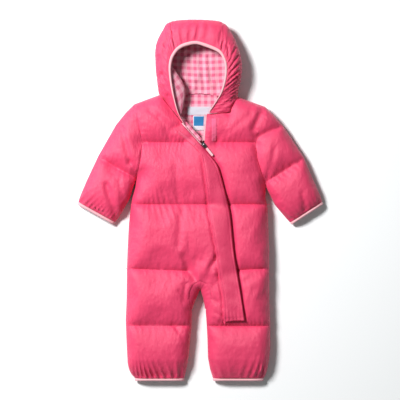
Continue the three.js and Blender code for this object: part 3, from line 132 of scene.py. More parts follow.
ZIP_LINE = table(
    ("y", "x"), (160.7, -36.8), (114.5, 5.3), (89, 20), (62, 32.5), (22, 43), (-9.5, 52), (-51, 58),
    (-104, 62), (-148, 68), (-198, 77), (-264, 86),
)
LEFT_OPENING_EDGE = table(("y", "x"), (181, 15), (120.8, 9.2), (114.5, 7))
SPLIT_LINE = table(("y", "x"), (120.8, -34), (-9.5, -6), (-146, 0), (-169, 0.5))
RIGHT_ARMHOLE = table(("x", "y"), (-138.4, 201.6), (-120.8, 120.8), (-125, 85), (-133.4, 47.3))
LEFT_ARMHOLE = table(("x", "y"), (137.1, 196.4), (116.6, 120.8), (120.8, 85), (138.6, 28.4))
NECK_RIGHT = (-85, 221.5)
NECK_LEFT = (78.8, 217.4)
NECK_LEFT_BEND = (62.2, 184.4)
SLEEVE_COLUMNS = ("t", "upper_x", "upper_y", "lower_x", "lower_y")
RIGHT_SLEEVE = table(
    SLEEVE_COLUMNS, (0, -138.4, 201.6, -133.4, 47.3), (0.15, -157, 183, -133.9, 46.4),
    (0.3, -177, 158, -134.3, 45), (0.5, -214, 93, -135.2, 41.5), (0.75, -238, 42, -148.5, 1),
    (0.92, -253.5, 6, -170.4, -36), (1, -256.6, -3.4, -179, -46.5),
)
LEFT_SLEEVE = table(
    SLEEVE_COLUMNS, (0, 137.1, 196.4, 138.6, 28.4), (0.15, 155, 179, 139.2, 27.4),
    (0.3, 177, 153, 139.8, 26), (0.5, 218.5, 90, 141.5, 22), (0.75, 239, 41, 158, -11),
    (0.92, 254.5, 7, 182, -39), (1, 257.4, -3.2, 189.6, -47),
)
LOFT = table(
    ("y", "z"), (222, 40), (165, 43), (110, 42), (-150, 41), (-264, 39), (-335, 36), (-358, 29),
    (-381, 20),
)
SEGMENT = ("x1", "y1", "x2", "y2")
QUILTING = table(
    SEGMENT, (-122, 121, -34, 121), (36, 121, 118, 121), (-150, -9.5, 22, -9.5),
    (50, -9.5, 146, -9.5), (-160, -144, -26, -149), (74, -148, 150, -143), (-160, -263, -16, -264),
    (12, -264, 150, -263), (-216, 92, -133, 44), (119, 131, 176, 158), (140, 38, 220, 89),
)
ENDS = table(
    SEGMENT, (-140, -375, -30, -374), (26, -375, 138, -375), (-257, -3, -179, -47),
    (257, -3, 190, -47),
)
FOLDS = table(
    SEGMENT + ("depth", "reach"),
    (-163, 148, -146, 80, 5, 7), (-146, 80, -133, 56, 5, 7), (-196, 32, -176, -36, 6.5, 7),
    (-171, 40, -164, 4, 3, 6), (-104, 188, -58, 150, 4, 7), (-88, 170, -60, 128, 3, 7),
    (119, 110, 139, 26, 7, 9), (129, 186, 112, 150, 5, 7), (104, 178, 34, 124, 3.5, 8),
    (156, 108, 142, 48, 4, 7), (214, 14, 220, -18, 4, 6), (96, -170, 130, -150, 3, 8),
    (-52, 78, -44, 4, 3, 9), (-38, -22, -46, -96, 3.5, 9), (-34, -118, -12, -168, 5, 8),
    (36, -118, 12, -166, 4.5, 8), (-85, 221, -38, 163, 4.5, 8), (76, 215, 60, 186, 3, 7),
    (60, 183, 20, 180, 3, 7), (-30, -176, -36, -214, 3, 5), (-44, -192, -26, -210, 2.6, 3.4),
    (-58, -262, -36, -279, 2.4, 3.6), (-50, -272, -34, -292, 2, 3.4), (28, -178, 37, -214, 2.4, 5),
    (28, -208, 48, -226, 2.2, 3.4), (34, -236, 52, -246, 2.2, 3.2), (30, -250, 46, -262, 2, 3),
    (-8, -124, -10, -160, 2.4, 5), (4, -126, 5, -158, 2, 5), (22, -140, 34, -120, 2.6, 4),
    (112, -190, 96, -236, 2, 6), (100, -64, 132, -20, 1.6, 10), (-120, 60, -104, 4, 1.4, 9),
)
# Gathers: fabric drawn in along a seam, in ridges across it
GATHERS = table(
    SEGMENT + ("depth", "reach", "wave"),
    (-140, -375, -30, -374, 4.6, 30, 11), (26, -375, 138, -375, 5.4, 42, 13),
    (-257, -3, -179, -47, 3, 24, 10), (257, -3, 190, -47, 3.6, 26, 10),
    (-96, -11, 24, -11, 1.0, 34, 13), (-118, 122, -42, 122, 1.0, 20, 10),
    (40, 122, 112, 122, 0.8, 18, 12),
    (-152, -146, -30, -148, 0.6, 22, 14), (-156, -264, -20, -264, 0.9, 18, 11),
    (18, -264, 46, -264, 1.3, 14, 8), (50, -257, 94, -257, 4.4, 12, 7.5), (96, -264, 146, -264, 1, 16, 11),
    (-138, 200, -121, 125, 2, 18, 10), (117, 124, 137, 192, 1.3, 16, 11),
    (-212, 90, -136, 46, 1.4, 18, 11),
    (144, 41, 216, 86, 1.2, 18, 11), (12, -30, 52, -206, 1.6, 12, 9),
)
print("tables:", len(FOLDS["x1"]), "folds,", len(QUILTING["x1"]), "quilting seams")


# %% Reading the tables
def read(t, place, column, key="y"):
    """A column of a table between its rows, at places along its key."""
    order = np.argsort(t[key])
    return np.interp(place, t[key][order], t[column][order])


def lerp(a, b, t):
    return a + (b - a) * t


def distance(x, y, segments):
    """Distance of every point to each segment of a table: one more axis at the end."""
    px, py = np.asarray(x)[..., None], np.asarray(y)[..., None]
    dx, dy = segments["x2"] - segments["x1"], segments["y2"] - segments["y1"]
    t = ((px - segments["x1"]) * dx + (py - segments["y1"]) * dy) / (dx * dx + dy * dy)
    t = np.clip(t, 0, 1)
    return np.hypot(px - segments["x1"] - t * dx, py - segments["y1"] - t * dy)


def run(points):
    """The segments of a path."""
    p = np.array(points, float)
    return np.hstack([p[:-1], p[1:]])


def columns(t, *names):
    return list(zip(*(t[n] for n in names)))


def first(t):
    return (t["x"][0], t["y"][0])


OUTLINE = table(SEGMENT, *np.vstack([
    run([NECK_RIGHT, *columns(RIGHT_SLEEVE, "upper_x", "upper_y")]),
    run(columns(RIGHT_SLEEVE, "lower_x", "lower_y")),
    run(columns(RIGHT_SIDE, "x", "y")), run(columns(RIGHT_INSEAM, "x", "y")),
    run(columns(LEFT_INSEAM, "x", "y")), run(columns(LEFT_SIDE, "x", "y")),
    run(columns(LEFT_SLEEVE, "lower_x", "lower_y")),
    run([NECK_LEFT, *columns(LEFT_SLEEVE, "upper_x", "upper_y")]),
]))


def rounding(d, reach):
    """A quarter ellipse: 0 at the outline, 1 where the rounded edge ends."""
    s = np.clip(d / reach, 0, 1)
    return np.sqrt(np.maximum(0, 1 - (1 - s) ** 2))


def smooth(t):
    t = np.clip(t, 0, 1)
    return t * t * (3 - 2 * t)


def end_nearness(x, y):
    return smooth(1 - distance(x, y, ENDS).min(-1) / CUFF_HOLLOW_REACH)


def parting_height(x, y):
    return PARTING - END_DROP * end_nearness(x, y)


def top_height(x, y, quilt=1.0, folds=1.0):
    """Height of the top surface: the loft, less the quilting troughs and folds, rounded at the outline."""
    height = read(LOFT, y, "z")
    sleeve = np.where(y > -60, smooth((np.abs(x) - 118) / 70), 0)
    cuffs = {k: v[2:] for k, v in ENDS.items()}
    height = height - SLEEVE_SINK * sleeve - CUFF_SINK * np.exp(-distance(x, y, cuffs).min(-1) / 18)
    troughs = np.exp(-distance(x, y, QUILTING) / QUILT_REACH)
    height = height - quilt * QUILT_DEPTH * troughs.sum(-1)
    near = distance(x, y, FOLDS) / FOLDS["reach"]
    height = height - folds * (FOLDS["depth"] * np.exp(-near ** 2)).sum(-1)
    low = parting_height(x, y)
    return low + (height - low) * rounding(distance(x, y, OUTLINE).min(-1), FRONT_EDGE_ROUND)


def gathered(x, y, ridges=GATHERS):
    """How far gathers lift or sink the fabric: uneven ridges that die away from each seam."""
    px, py = np.asarray(x)[..., None], np.asarray(y)[..., None]
    dx, dy = ridges["x2"] - ridges["x1"], ridges["y2"] - ridges["y1"]
    length = np.hypot(dx, dy)
    along = ((px - ridges["x1"]) * dx + (py - ridges["y1"]) * dy) / length
    across = ((py - ridges["y1"]) * dx - (px - ridges["x1"]) * dy) / length
    far = np.hypot(across, np.maximum(0, np.maximum(-along, along - length)))
    peak = 0.3 * ridges["reach"]
    profile = far / peak * np.exp(1 - far / peak)
    seed = np.arange(len(length)) * 1.7
    lean = 0.35 * np.sin(along / 31 + seed) * across
    place = (along + lean) / ridges["wave"] + 0.45 * np.sin(along / (1.9 * ridges["wave"]) + seed)
    ridge = 1 - 2 * abs(np.sin(np.pi * place)) ** 0.8
    uneven = 0.6 + 0.4 * np.sin(along / (2.7 * ridges["wave"]) + 2 * seed)
    return (ridges["depth"] * profile * ridge * uneven).sum(-1)


def bottom_height(x, y):
    trough = np.exp(-distance(x, y, QUILTING) / BACK_QUILT_REACH).max(-1)
    lift = np.maximum(0, BACK_QUILT_DEPTH * (trough - 0.05))
    full = rounding(distance(x, y, OUTLINE).min(-1), BACK_EDGE_ROUND)
    return (parting_height(x, y) - LAYER_GAP / 2) * (1 - full) + lift * full


NECK_HOLLOW_LINE = table(SEGMENT, (-12, 200, 4, 122))


def hollow_height(x, y):
    neck = np.clip(1 - distance(x, y, NECK_HOLLOW_LINE).min(-1) / NECK_HOLLOW_REACH, 0, 1)
    flat = rounding(distance(x, y, OUTLINE).min(-1), FRONT_EDGE_ROUND)
    return (NECK_HOLLOW * neck * (2 - neck) + CUFF_HOLLOW * end_nearness(x, y)) * flat


print("belly:", round(float(top_height(-80.0, -70.0)), 1), "mm high")

# %% [markdown]
# ## Sheets of points
#
# A panel is a few grids of points that share their edges. The fine grid stands for the shell fabric. A
# subdivided plane could be cut to shape instead, but a grid ruled from seam to seam keeps its rows along
# the quilting, where the cloth bends.
#
# After simulation the same grid, laid lower, closes the panel underneath, so that each piece is a solid
# wall with its padding in it.

# %% Grids, merged
def merge_grids(grids):
    """Points and quads of several (rows, columns, values) arrays, with shared points merged."""
    points, faces, start = [], [], 0
    for g in grids:
        rows, cols = g.shape[:2]
        i = start + np.arange(rows * cols).reshape(rows, cols)
        faces.append(np.stack([i[:-1, :-1], i[1:, :-1], i[1:, 1:], i[:-1, 1:]], -1).reshape(-1, 4))
        points.append(g.reshape(rows * cols, -1))
        start += rows * cols
    points, faces = np.vstack(points), np.vstack(faces)
    keys, index, inverse = np.unique(
        np.round(points[:, :3], 3), axis=0, return_index=True, return_inverse=True)
    faces = inverse.reshape(-1)[faces]
    return points[index], [face for face in map(corners, faces) if len(face) > 2]


def corners(face):
    """A face without corners that have merged."""
    kept = [int(v) for i, v in enumerate(face) if v != face[i - 1]]
    return tuple(kept)


def boundary(faces):
    """Directed edges that only one face uses."""
    used = {}
    for f in faces:
        for a, b in zip(f, f[1:] + f[:1]):
            used[(a, b)] = True
    return [(a, b) for a, b in used if (b, a) not in used]


def new_mesh(name, points, faces):
    mesh = bpy.data.meshes.new(name)
    mesh.from_pydata((np.asarray(points) * MM).tolist(), [], faces)
    mesh.update()
    piece = bpy.data.objects.new(name, mesh)
    bpy.context.scene.collection.objects.link(piece)
    return piece


def closed_piece(name, outer, faces, inner):
    """A closed wall from outer points, and inner points that lie under them one for one."""
    count = len(outer)
    lower = [tuple(v + count for v in reversed(f)) for f in faces]
    rim = [(b, a, a + count, b + count) for a, b in boundary(faces)]
    piece = new_mesh(name, np.vstack([outer, inner]), faces + lower + rim)
    tidy_mesh(piece)
    return piece


def tidy_mesh(piece, angle=62):
    """Drops flattened faces, points the rest outwards and shades them smooth up to an angle."""
    bm = bmesh.new()
    bm.from_mesh(piece.data)
    bmesh.ops.remove_doubles(bm, verts=bm.verts, dist=0.02 * MM)
    bmesh.ops.recalc_face_normals(bm, faces=bm.faces)
    if bm.calc_volume(signed=True) < 0:
        bmesh.ops.reverse_faces(bm, faces=bm.faces)
    bm.to_mesh(piece.data)
    bm.free()
    piece.data.shade_smooth()
    piece.data.set_sharp_from_angle(angle=np.radians(angle))


# %% [markdown]
# ## Cloth simulation of the shell
#
# The shell of a padded panel is cut larger than the seams that hold it, and the padding pushes it up.
# Sculpting would do for one view, but a simulation gives puckers that agree with the seams. So the sheet
# starts on the height form, its seams are pinned, the fabric grows by a few per cent and a light pressure
# lifts it.
#
# The sheet is ten times life size while it moves, because the solver is steadier at that scale.

# %% Puffing a sheet
SIM_SCALE = 10


def relaxed(values, faces, loose, rounds):
    """Values per point, evened out with their neighbours where they are loose."""
    edges = np.array(sorted({(min(a, b), max(a, b)) for f in faces for a, b in zip(f, f[1:] + f[:1])}))
    count = np.bincount(edges.ravel(), minlength=len(values))[:, None]
    for _ in range(rounds):
        total = np.zeros_like(values)
        np.add.at(total, edges[:, 0], values[edges[:, 1]])
        np.add.at(total, edges[:, 1], values[edges[:, 0]])
        values = np.where(loose[:, None], lerp(values, total / np.maximum(count, 1), 0.6), values)
    return values


def puff(points, faces, pinned, slack=0.05, pressure=1.2, frames=22, cap=9, bend=0.4, calm=7):
    """The points after a short cloth simulation, moved by at most cap millimetres."""
    points = np.asarray(points, float)
    sheet = new_mesh("sheet", points * SIM_SCALE, faces)
    group = sheet.vertex_groups.new(name="seams")
    for i in np.flatnonzero(pinned > 0):
        group.add([int(i)], float(pinned[i]), "REPLACE")
    cloth = sheet.modifiers.new("cloth", "CLOTH")
    s = cloth.settings
    s.quality = 5
    s.mass = 0.3
    s.tension_stiffness = s.compression_stiffness = 18
    s.shear_stiffness = 6
    s.bending_stiffness = bend
    s.use_pressure = True
    s.uniform_pressure_force = pressure
    s.vertex_group_mass = "seams"
    s.shrink_min = -slack
    s.effector_weights.gravity = 0
    cloth.collision_settings.use_collision = False
    cloth.point_cache.frame_start, cloth.point_cache.frame_end = 1, frames
    scene = bpy.context.scene
    for frame_number in range(1, frames + 1):
        scene.frame_set(frame_number)
    evaluated = sheet.evaluated_get(bpy.context.evaluated_depsgraph_get())
    co = np.empty(len(points) * 3)
    evaluated.data.vertices.foreach_get("co", co)
    moved = co.reshape(-1, 3) / MM / SIM_SCALE - points
    length = np.linalg.norm(moved, axis=1, keepdims=True)
    moved *= np.minimum(1, cap / np.maximum(length, 1e-9))
    mesh = sheet.data
    bpy.data.objects.remove(sheet)
    bpy.data.meshes.remove(mesh)
    scene.frame_set(1)
    moved = relaxed(moved, faces, pinned < 0.5, calm)
    print("  puffed", len(points), "points, mean lift", round(float(moved[:, 2].mean()), 2), "mm")
    return points + moved


random = np.random.default_rng(11)

# %% [markdown]
# ## Plans of the body panels
#
# The front of the suit has three panels: a right one that reaches across the zip on the left thigh, a
# left one, and the left shin. They could share one mesh, but each is a piece of cloth of its own and
# keeps its own padding. Each is ruled from its left seam to its right one, row by row down the body.

# %% Panel plans
STEP = 3.6


def stacked(*tables):
    return {k: np.concatenate([t[k] for t in tables]) for k in ("y", "x")}


def armhole_below(t):
    return {"y": t["y"][1:], "x": t["x"][1:]}


def beneath(t, y):
    return {k: v[t["y"] < y] for k, v in t.items()}


RIGHT_EDGE = stacked(armhole_below(RIGHT_ARMHOLE), beneath(RIGHT_SIDE, 47))
LEFT_EDGE = stacked(armhole_below(LEFT_ARMHOLE), beneath(LEFT_SIDE, 28))
RIGHT_LEG = stacked(RIGHT_GUSSET_SEAM, beneath(RIGHT_INSEAM, -233))
LEFT_LEG = stacked(LEFT_GUSSET_SEAM, beneath(LEFT_INSEAM, -233))
LEFT_ZIP = stacked(beneath(LEFT_OPENING_EDGE, 122), beneath(ZIP_LINE, SLIDER_Y - 2))


def levels(*stops):
    """Heights down the body from stop to stop, about STEP apart."""
    parts = [np.linspace(a, b, max(2, round(abs(b - a) / STEP) + 1))[:-1] for a, b in zip(stops, stops[1:])]
    return np.concatenate([*parts, stops[-1:]])


def hip_tilt(x, y):
    """The hip seam slants a little; rows near it follow."""
    slant = np.interp(x, [-160, -26, 0, 74, 150], [2, -3, -2.5, -2, 3])
    return slant * np.exp(-((y - HIP) / 22) ** 2)


def grid_between(left, right, ys, count):
    """Rows of points from the left table to the right one."""
    u = np.linspace(0, 1, count + 1)
    x0, x1 = left(ys)[:, None], right(ys)[:, None]
    x = lerp(x0, x1, u[None, :])
    y = np.repeat(ys[:, None], count + 1, 1)
    return np.stack([x, y + hip_tilt(x, y)], -1)


def yoke_grid(top, bottom, rows=26):
    """Ruled from the points of the top row to those of the yoke's seam."""
    t = np.linspace(0, 1, rows)[:, None, None]
    return lerp(top[None], bottom[None], t)[:-1]


def polyline(points, shares, count):
    """Points along a path; shares says at which part of the columns each corner comes."""
    p = np.array(points, float)
    u = np.linspace(0, 1, count + 1)
    nearest = [int(round(s * count)) / count for s in shares]
    return np.stack([np.interp(u, nearest, p[:, 0]), np.interp(u, nearest, p[:, 1])], -1)


def full_panel(top, body):
    return np.concatenate([yoke_grid(top, body[0]), body])


HALF = SEAM_GAP / 2
right_edge = lambda y: read(RIGHT_EDGE, y, "x") + HALF
left_edge = lambda y: read(LEFT_EDGE, y, "x") - HALF
right_leg = lambda y: read(RIGHT_LEG, y, "x") - HALF
left_leg = lambda y: read(LEFT_LEG, y, "x") + HALF
right_zip = lambda y: read(ZIP_LINE, y, "x") - HALF
left_zip = lambda y: read(LEFT_ZIP, y, "x") + HALF
split = lambda y: read(SPLIT_LINE, y, "x")
centre = lambda side: (lambda y: 0.5 + side * HALF + 0 * y)

upper = levels(YOKE_BOTTOM, WAIST, HIP, CROTCH)
lower = levels(CROTCH, GUSSET_END, KNEE, HEM)
to_knee = levels(CROTCH, GUSSET_END, KNEE)
below_knee = levels(KNEE - SEAM_GAP, HEM)

zip_top = (ZIP_LINE["x"][0], ZIP_LINE["y"][0])
neck_split = tuple(lerp(np.array(NECK_RIGHT), np.array(zip_top), 0.55))
down = lambda p, dx=0.0: (p[0] + dx, p[1] - SEAM_GAP)
main_count, strip_count, left_count = 62, 22, 34
main_body = grid_between(right_edge, split, upper, main_count)
main_top = polyline(
    [first(RIGHT_ARMHOLE), down(NECK_RIGHT), down(neck_split)], [0, 0.55, 1], main_count)
strip_body = grid_between(split, right_zip, upper, strip_count)
strip_top = polyline([down(neck_split), down(zip_top)], [0, 1], strip_count)
right_leg_grid = grid_between(right_edge, right_leg, lower, main_count)
right_leg_grid[0] = main_body[-1]
inner_leg_grid = grid_between(left_leg, right_zip, to_knee, strip_count)
inner_leg_grid[0] = strip_body[-1]
front_right_grids = [
    full_panel(main_top, main_body), full_panel(strip_top, strip_body), right_leg_grid, inner_leg_grid,
]
left_body = grid_between(left_zip, left_edge, levels(YOKE_BOTTOM, WAIST, HIP, KNEE), left_count)
left_top = polyline(
    [down(first(LEFT_OPENING_EDGE)), down(NECK_LEFT_BEND, SEAM_GAP), down(NECK_LEFT, SEAM_GAP),
     first(LEFT_ARMHOLE)], [0, 0.3, 0.5, 1], left_count)
front_left_grids = [full_panel(left_top, left_body)]
shin_grids = [grid_between(left_leg, left_edge, below_knee, 40)]
print("rows:", len(upper) + len(lower))


SEAM_PIN = 0.55 * STEP  # how near a quilting line the fabric is held
THINNEST_PADDING = 2.5
SKIN = 0.05  # keeps the two sheets of a wall apart
FLAP_SEWN_EDGE = table(
    SEGMENT, (1, 92, 6, 62), (6, 62, 13.6, 7), (13.6, 7, 17.4, -30), (17.4, -30, 30.6, -104),
    (30.6, -104, 38.6, -161), (38.6, -161, 46.6, -206), (46.6, -206, 49, -255),
)
FLAP_EDGE = table(
    SEGMENT, (6, 116, 22, 94), (22, 94, 40, 68), (40, 68, 56, 10), (56, 10, 65, -33), (65, -33, 72, -104),
    (72, -104, 80.5, -158), (80.5, -158, 88, -203), (88, -203, 95, -250),
)


def make_front(name, grids, slack, pressure):
    plan, faces = merge_grids(grids)
    x, y = plan[:, 0], plan[:, 1]
    outer = np.column_stack([x, y, top_height(x, y) + LAYER_GAP / 2])
    edge = np.zeros(len(plan))
    edge[list({v for pair in boundary(faces) for v in pair})] = 1
    seam = distance(x, y, QUILTING).min(-1) < SEAM_PIN
    pinned = np.maximum(edge, seam * 1.0)
    loose = pinned < 0.5
    outer[loose, 2] += random.uniform(-0.5, 0.5, loose.sum())
    outer = puff(outer, faces, pinned, slack=slack, pressure=pressure)
    full = rounding(distance(x, y, OUTLINE).min(-1), FRONT_EDGE_ROUND)
    outer[:, 2] += gathered(x, y) * full
    if name == "shell_front_left":
        beside = distance(x, y, FLAP_EDGE).min(-1)
        deep = np.interp(y, [-250, -120, 40, 100], [5.5, 8, 11, 4])
        outer[:, 2] -= deep * np.exp(-(beside / (0.55 * deep)) ** 2) * smooth((104 - y) / 20) * full
    if name == "shell_front_right":
        beside = distance(x, y, FLAP_SEWN_EDGE).min(-1)
        outer[:, 2] -= 3.2 * np.exp(-(beside / 2.8) ** 2) * smooth((100 - y) / 40)
    low = parting_height(x, y) + LAYER_GAP / 2
    inner = outer.copy()
    roof = np.minimum(low + hollow_height(x, y), outer[:, 2] - THINNEST_PADDING)
    inner[:, 2] = np.maximum(roof, low - SKIN)
    inner[:, :2] = plan
    outer[:, 2] = np.maximum(outer[:, 2], inner[:, 2] + SKIN)
    return closed_piece(name, outer, faces, inner)


front_right = make_front("shell_front_right", front_right_grids, 0.026, 0.65)
front_left = make_front("shell_front_left", front_left_grids, 0.03, 0.7)
front_left_shin = make_front("shell_left_shin", shin_grids, 0.04, 0.8)
for piece in (front_right, front_left, front_left_shin):
    print(piece.name, len(piece.data.polygons), "faces")

# %% [markdown]
# ## Sleeves
#
# A sleeve is one piece of cloth with a seam under the arm, lying flat. A cylinder pressed flat would lose
# its edges, so the grid runs round it: over the top from fold to fold, then back along the underside. Its
# top is puffed like the fronts; below it rests on the table.

# %% Tubes lying flat
ARMHOLE_SHARES = (0, 0.52, 0.76, 1)
CURVE_ENDS = 0.5
EDGE_WALL = 3


def crowded(count):
    """Shares from 0 to 1 that crowd towards both ends."""
    u = np.linspace(0, 1, count + 1)
    return lerp(u, (1 - np.cos(np.pi * u)) / 2, 0.7)


def sleeve_plan(rows, armhole, outward, w, t):
    """Points of a sleeve from above: w goes from its upper edge to its lower one, t from shoulder to cuff."""
    knots = np.array(columns(armhole, "x", "y")) + [outward * HALF, 0]
    along = lambda name: np.interp(t, rows["t"], rows[name])
    upper = np.stack([along("upper_x"), along("upper_y")], -1)
    under = np.stack([along("lower_x"), along("lower_y")], -1)
    curve = np.stack([np.interp(w, ARMHOLE_SHARES, knots[:, i]) for i in (0, 1)], -1)
    chord = knots[0] + (knots[3] - knots[0]) * w[..., None]
    share = np.clip(1 - t / CURVE_ENDS, 0, 1)[..., None]
    return lerp(upper, under, w[..., None]) + share * (curve - chord)


def flat_tube(plan, w, t):
    """Outer and inner points of a flattened tube, as one grid of six values."""
    w, t = np.meshgrid(w, t)
    p = plan(w, t)
    length = np.linalg.norm(plan(1 + 0 * t, t) - plan(0 * t, t), axis=-1)
    q = plan(np.clip(w, EDGE_WALL / length, 1 - EDGE_WALL / length), t)
    fold = (w == 0) | (w == 1)
    low = parting_height(p[..., 0], p[..., 1])
    low_in = parting_height(q[..., 0], q[..., 1])
    top = np.maximum(top_height(p[..., 0], p[..., 1]), low) + LAYER_GAP / 2
    under = np.minimum(bottom_height(p[..., 0], p[..., 1]), low)
    top, under = np.where(fold, low, top), np.where(fold, low, under)
    roof = np.minimum(low_in + LAYER_GAP / 2 + hollow_height(q[..., 0], q[..., 1]), top - THINNEST_PADDING)
    roof = np.maximum(roof, low_in)
    upper = np.concatenate([p, top[..., None], q, roof[..., None]], -1)
    lower_sheet = np.concatenate([p, under[..., None], q, (low_in - LAYER_GAP / 2)[..., None]], -1)
    return np.concatenate([upper, lower_sheet[:, -2::-1]], 1)


def edge_points(count, faces):
    edge = np.zeros(count)
    edge[list({v for pair in boundary(faces) for v in pair})] = 1
    return edge


def puffed_tube(name, grid, slack, pressure):
    points, faces = merge_grids([grid])
    outer, inner = points[:, :3].copy(), points[:, 3:]
    x, y, z = outer.T
    low = parting_height(x, y)
    seam = distance(x, y, QUILTING).min(-1) < SEAM_PIN
    pinned = np.maximum(edge_points(len(outer), faces), (seam | (z <= low + 0.01)) * 1.0)
    loose = pinned < 0.5
    outer[loose, 2] += random.uniform(-0.5, 0.5, loose.sum())
    outer = puff(outer, upward(outer, faces), pinned, slack=slack, pressure=pressure)
    full = rounding(distance(x, y, OUTLINE).min(-1), FRONT_EDGE_ROUND)
    outer[:, 2] += gathered(x, y) * full * (z > low + 0.01)
    outer[loose, 2] = np.maximum(outer[loose, 2], inner[loose, 2] + 2)
    return closed_piece(name, outer, faces, inner)


def face_normals(points, faces):
    quads = np.array([f if len(f) == 4 else (*f, f[-1]) for f in faces])
    p = points[quads]
    return quads, np.cross(p[:, 2] - p[:, 0], p[:, 3] - p[:, 1])


def point_normals(points, faces):
    quads, normals = face_normals(points, faces)
    total = np.zeros_like(points)
    for i in range(4):
        np.add.at(total, quads[:, i], normals)
    return total / np.maximum(np.linalg.norm(total, axis=1, keepdims=True), 1e-9)


def upward(points, faces, centre=None):
    """The faces turned so that normals above the parting point up, or all away from a centre."""
    quads, normals = face_normals(points, faces)
    corner = points[quads[:, 0]]
    if centre is None:
        outward = (normals[:, 2] * (corner[:, 2] > PARTING)).sum()
    else:
        outward = (normals * (corner - centre)).sum(1).sum()
    return faces if outward >= 0 else [tuple(reversed(f)) for f in faces]


SLEEVE_TURNS, SLEEVE_STEPS = 44, 74
SLEEVE_SLACK, SLEEVE_PRESSURE = 0.04, 0.8
SLEEVE_PLANS = {
    "right": lambda w, t: sleeve_plan(RIGHT_SLEEVE, RIGHT_ARMHOLE, -1, w, t),
    "left": lambda w, t: sleeve_plan(LEFT_SLEEVE, LEFT_ARMHOLE, 1, w, t),
}
sleeves = {}
for side, plan in SLEEVE_PLANS.items():
    grid = flat_tube(plan, crowded(SLEEVE_TURNS), np.linspace(0, 1, SLEEVE_STEPS + 1))
    sleeves[side] = puffed_tube("shell_sleeve_" + side, grid, SLEEVE_SLACK, SLEEVE_PRESSURE)
    print(sleeves[side].name, len(sleeves[side].data.polygons), "faces")

# %% [markdown]
# ## Backs and crotch gusset
#
# The backs lie flat on the table under the fronts and show only at the sides, so they are plain walls
# with ripples beside the quilting and need no simulation. The gusset is the strip that gives room at the
# crotch. It wraps from the front round the edge to the back, so its grid turns round that edge.

# %% Backs
def nape_y(x):
    """The seam from shoulder to shoulder behind the neck."""
    share = (np.asarray(x) - NECK_RIGHT[0]) / (NECK_LEFT[0] - NECK_RIGHT[0])
    return lerp(NECK_RIGHT[1], NECK_LEFT[1], share)


def gathers(x, y, reach=13, height=1.1, wave=7.5):
    """Small uneven ripples beside the quilting seams and ends."""
    near = np.minimum(distance(x, y, QUILTING).min(-1), distance(x, y, ENDS).min(-1))
    ripple = np.sin(2 * np.pi * x / wave + 2.1 * np.sin(x / 19) + y / 23) ** 2
    return height * np.exp(-(near / reach) ** 2) * ripple * (0.6 + 0.4 * np.sin(x / 11))


def make_back(side):
    right = side == "right"
    outer_edge, leg = (right_edge, right_leg) if right else (left_edge, left_leg)
    count = 38
    body = grid_between(outer_edge, centre(-1 if right else 1), upper, count)
    leg_grid = grid_between(outer_edge, leg, lower, count)
    leg_grid[0] = body[-1]
    shoulder = first(RIGHT_ARMHOLE) if right else first(LEFT_ARMHOLE)
    neck = down(NECK_RIGHT) if right else down(NECK_LEFT)
    middle = (0.5, float(nape_y(0.5)) - SEAM_GAP)
    top = polyline([shoulder, neck, middle], [0, 0.5, 1], count)
    points, faces = merge_grids([full_panel(top, body), leg_grid])
    x, y = points.T
    height = bottom_height(x, y)
    full = rounding(distance(x, y, OUTLINE).min(-1), BACK_EDGE_ROUND)
    height = height + gathers(x, y) * full
    roof = parting_height(x, y) - LAYER_GAP / 2
    outer = np.column_stack([points, np.minimum(height, roof)])
    return closed_piece("shell_back_" + side, outer, faces, np.column_stack([points, roof + 0.02]))


backs = {side: make_back(side) for side in ("right", "left")}
print("backs:", [len(piece.data.polygons) for piece in backs.values()], "faces")

# %% Crotch gusset
GUSSET_EDGE_LEVELS = np.array([-229, -214, -200, -193, -190.0])
GUSSET_SEAM_LEVELS = np.array([-229, -209, -190, -176, -169.0])
gusset_rows, gusset_turns = 48, 24


def gusset_ends(s):
    """Seam and edge points for s from 0, low on the right leg, to 1, low on the left leg."""
    place = (1 - abs(2 * s - 1)) * (len(GUSSET_EDGE_LEVELS) - 1)
    edge_y = np.interp(place, range(5), GUSSET_EDGE_LEVELS)
    seam_y = np.interp(place, range(5), GUSSET_SEAM_LEVELS)
    edges, seams = (RIGHT_INSEAM, RIGHT_GUSSET_SEAM) if s < 0.5 else (LEFT_INSEAM, LEFT_GUSSET_SEAM)
    edge = np.array([read(edges, edge_y, "x"), edge_y])
    seam = np.array([read(seams, seam_y, "x"), seam_y])
    return lerp(seam, edge, 0.5 * SEAM_GAP / np.linalg.norm(edge - seam)), edge


grid = np.zeros((gusset_rows + 1, gusset_turns + 1, 6))
for r in range(gusset_rows + 1):
    seam, edge = gusset_ends(r / gusset_rows)
    length = np.linalg.norm(edge - seam)
    for c in range(gusset_turns + 1):
        w = 1 - abs(2 * c / gusset_turns - 1)
        w = np.sin(w * np.pi / 2) if w < 1 else 1.0
        p, q = lerp(seam, edge, w), lerp(seam, edge, w * (1 - min(EDGE_WALL / length, 0.4)))
        front_side = np.sign(gusset_turns - 2 * c)
        low = parting_height(*p)
        crinkle = 0.9 * np.sin(r * 1.9 + c * 0.5) * (1 - w) * min(1, 3 * w)
        z = low if front_side == 0 else (
            top_height(*p) + LAYER_GAP / 2 + crinkle if front_side > 0 else bottom_height(*p))
        grid[r, c] = (*p, z, *q, parting_height(*q) + front_side * LAYER_GAP / 2)
points, faces = merge_grids([grid])
gusset = closed_piece("shell_gusset", points[:, :3], faces, points[:, 3:])
print("gusset:", len(gusset.data.polygons), "faces")

# %% [markdown]
# ## Elastic bindings
#
# Knitted elastic is folded over the raw edge of each cuff and hem and round the face opening. It is
# ribbed across. A bevelled curve would give a round cord, so the roll is made from the flattened end of
# the tube itself, with the ribs as small waves of its surface.

# %% Cuffs and hems
BINDING_LENGTH = 6.0
RIB = 2.1


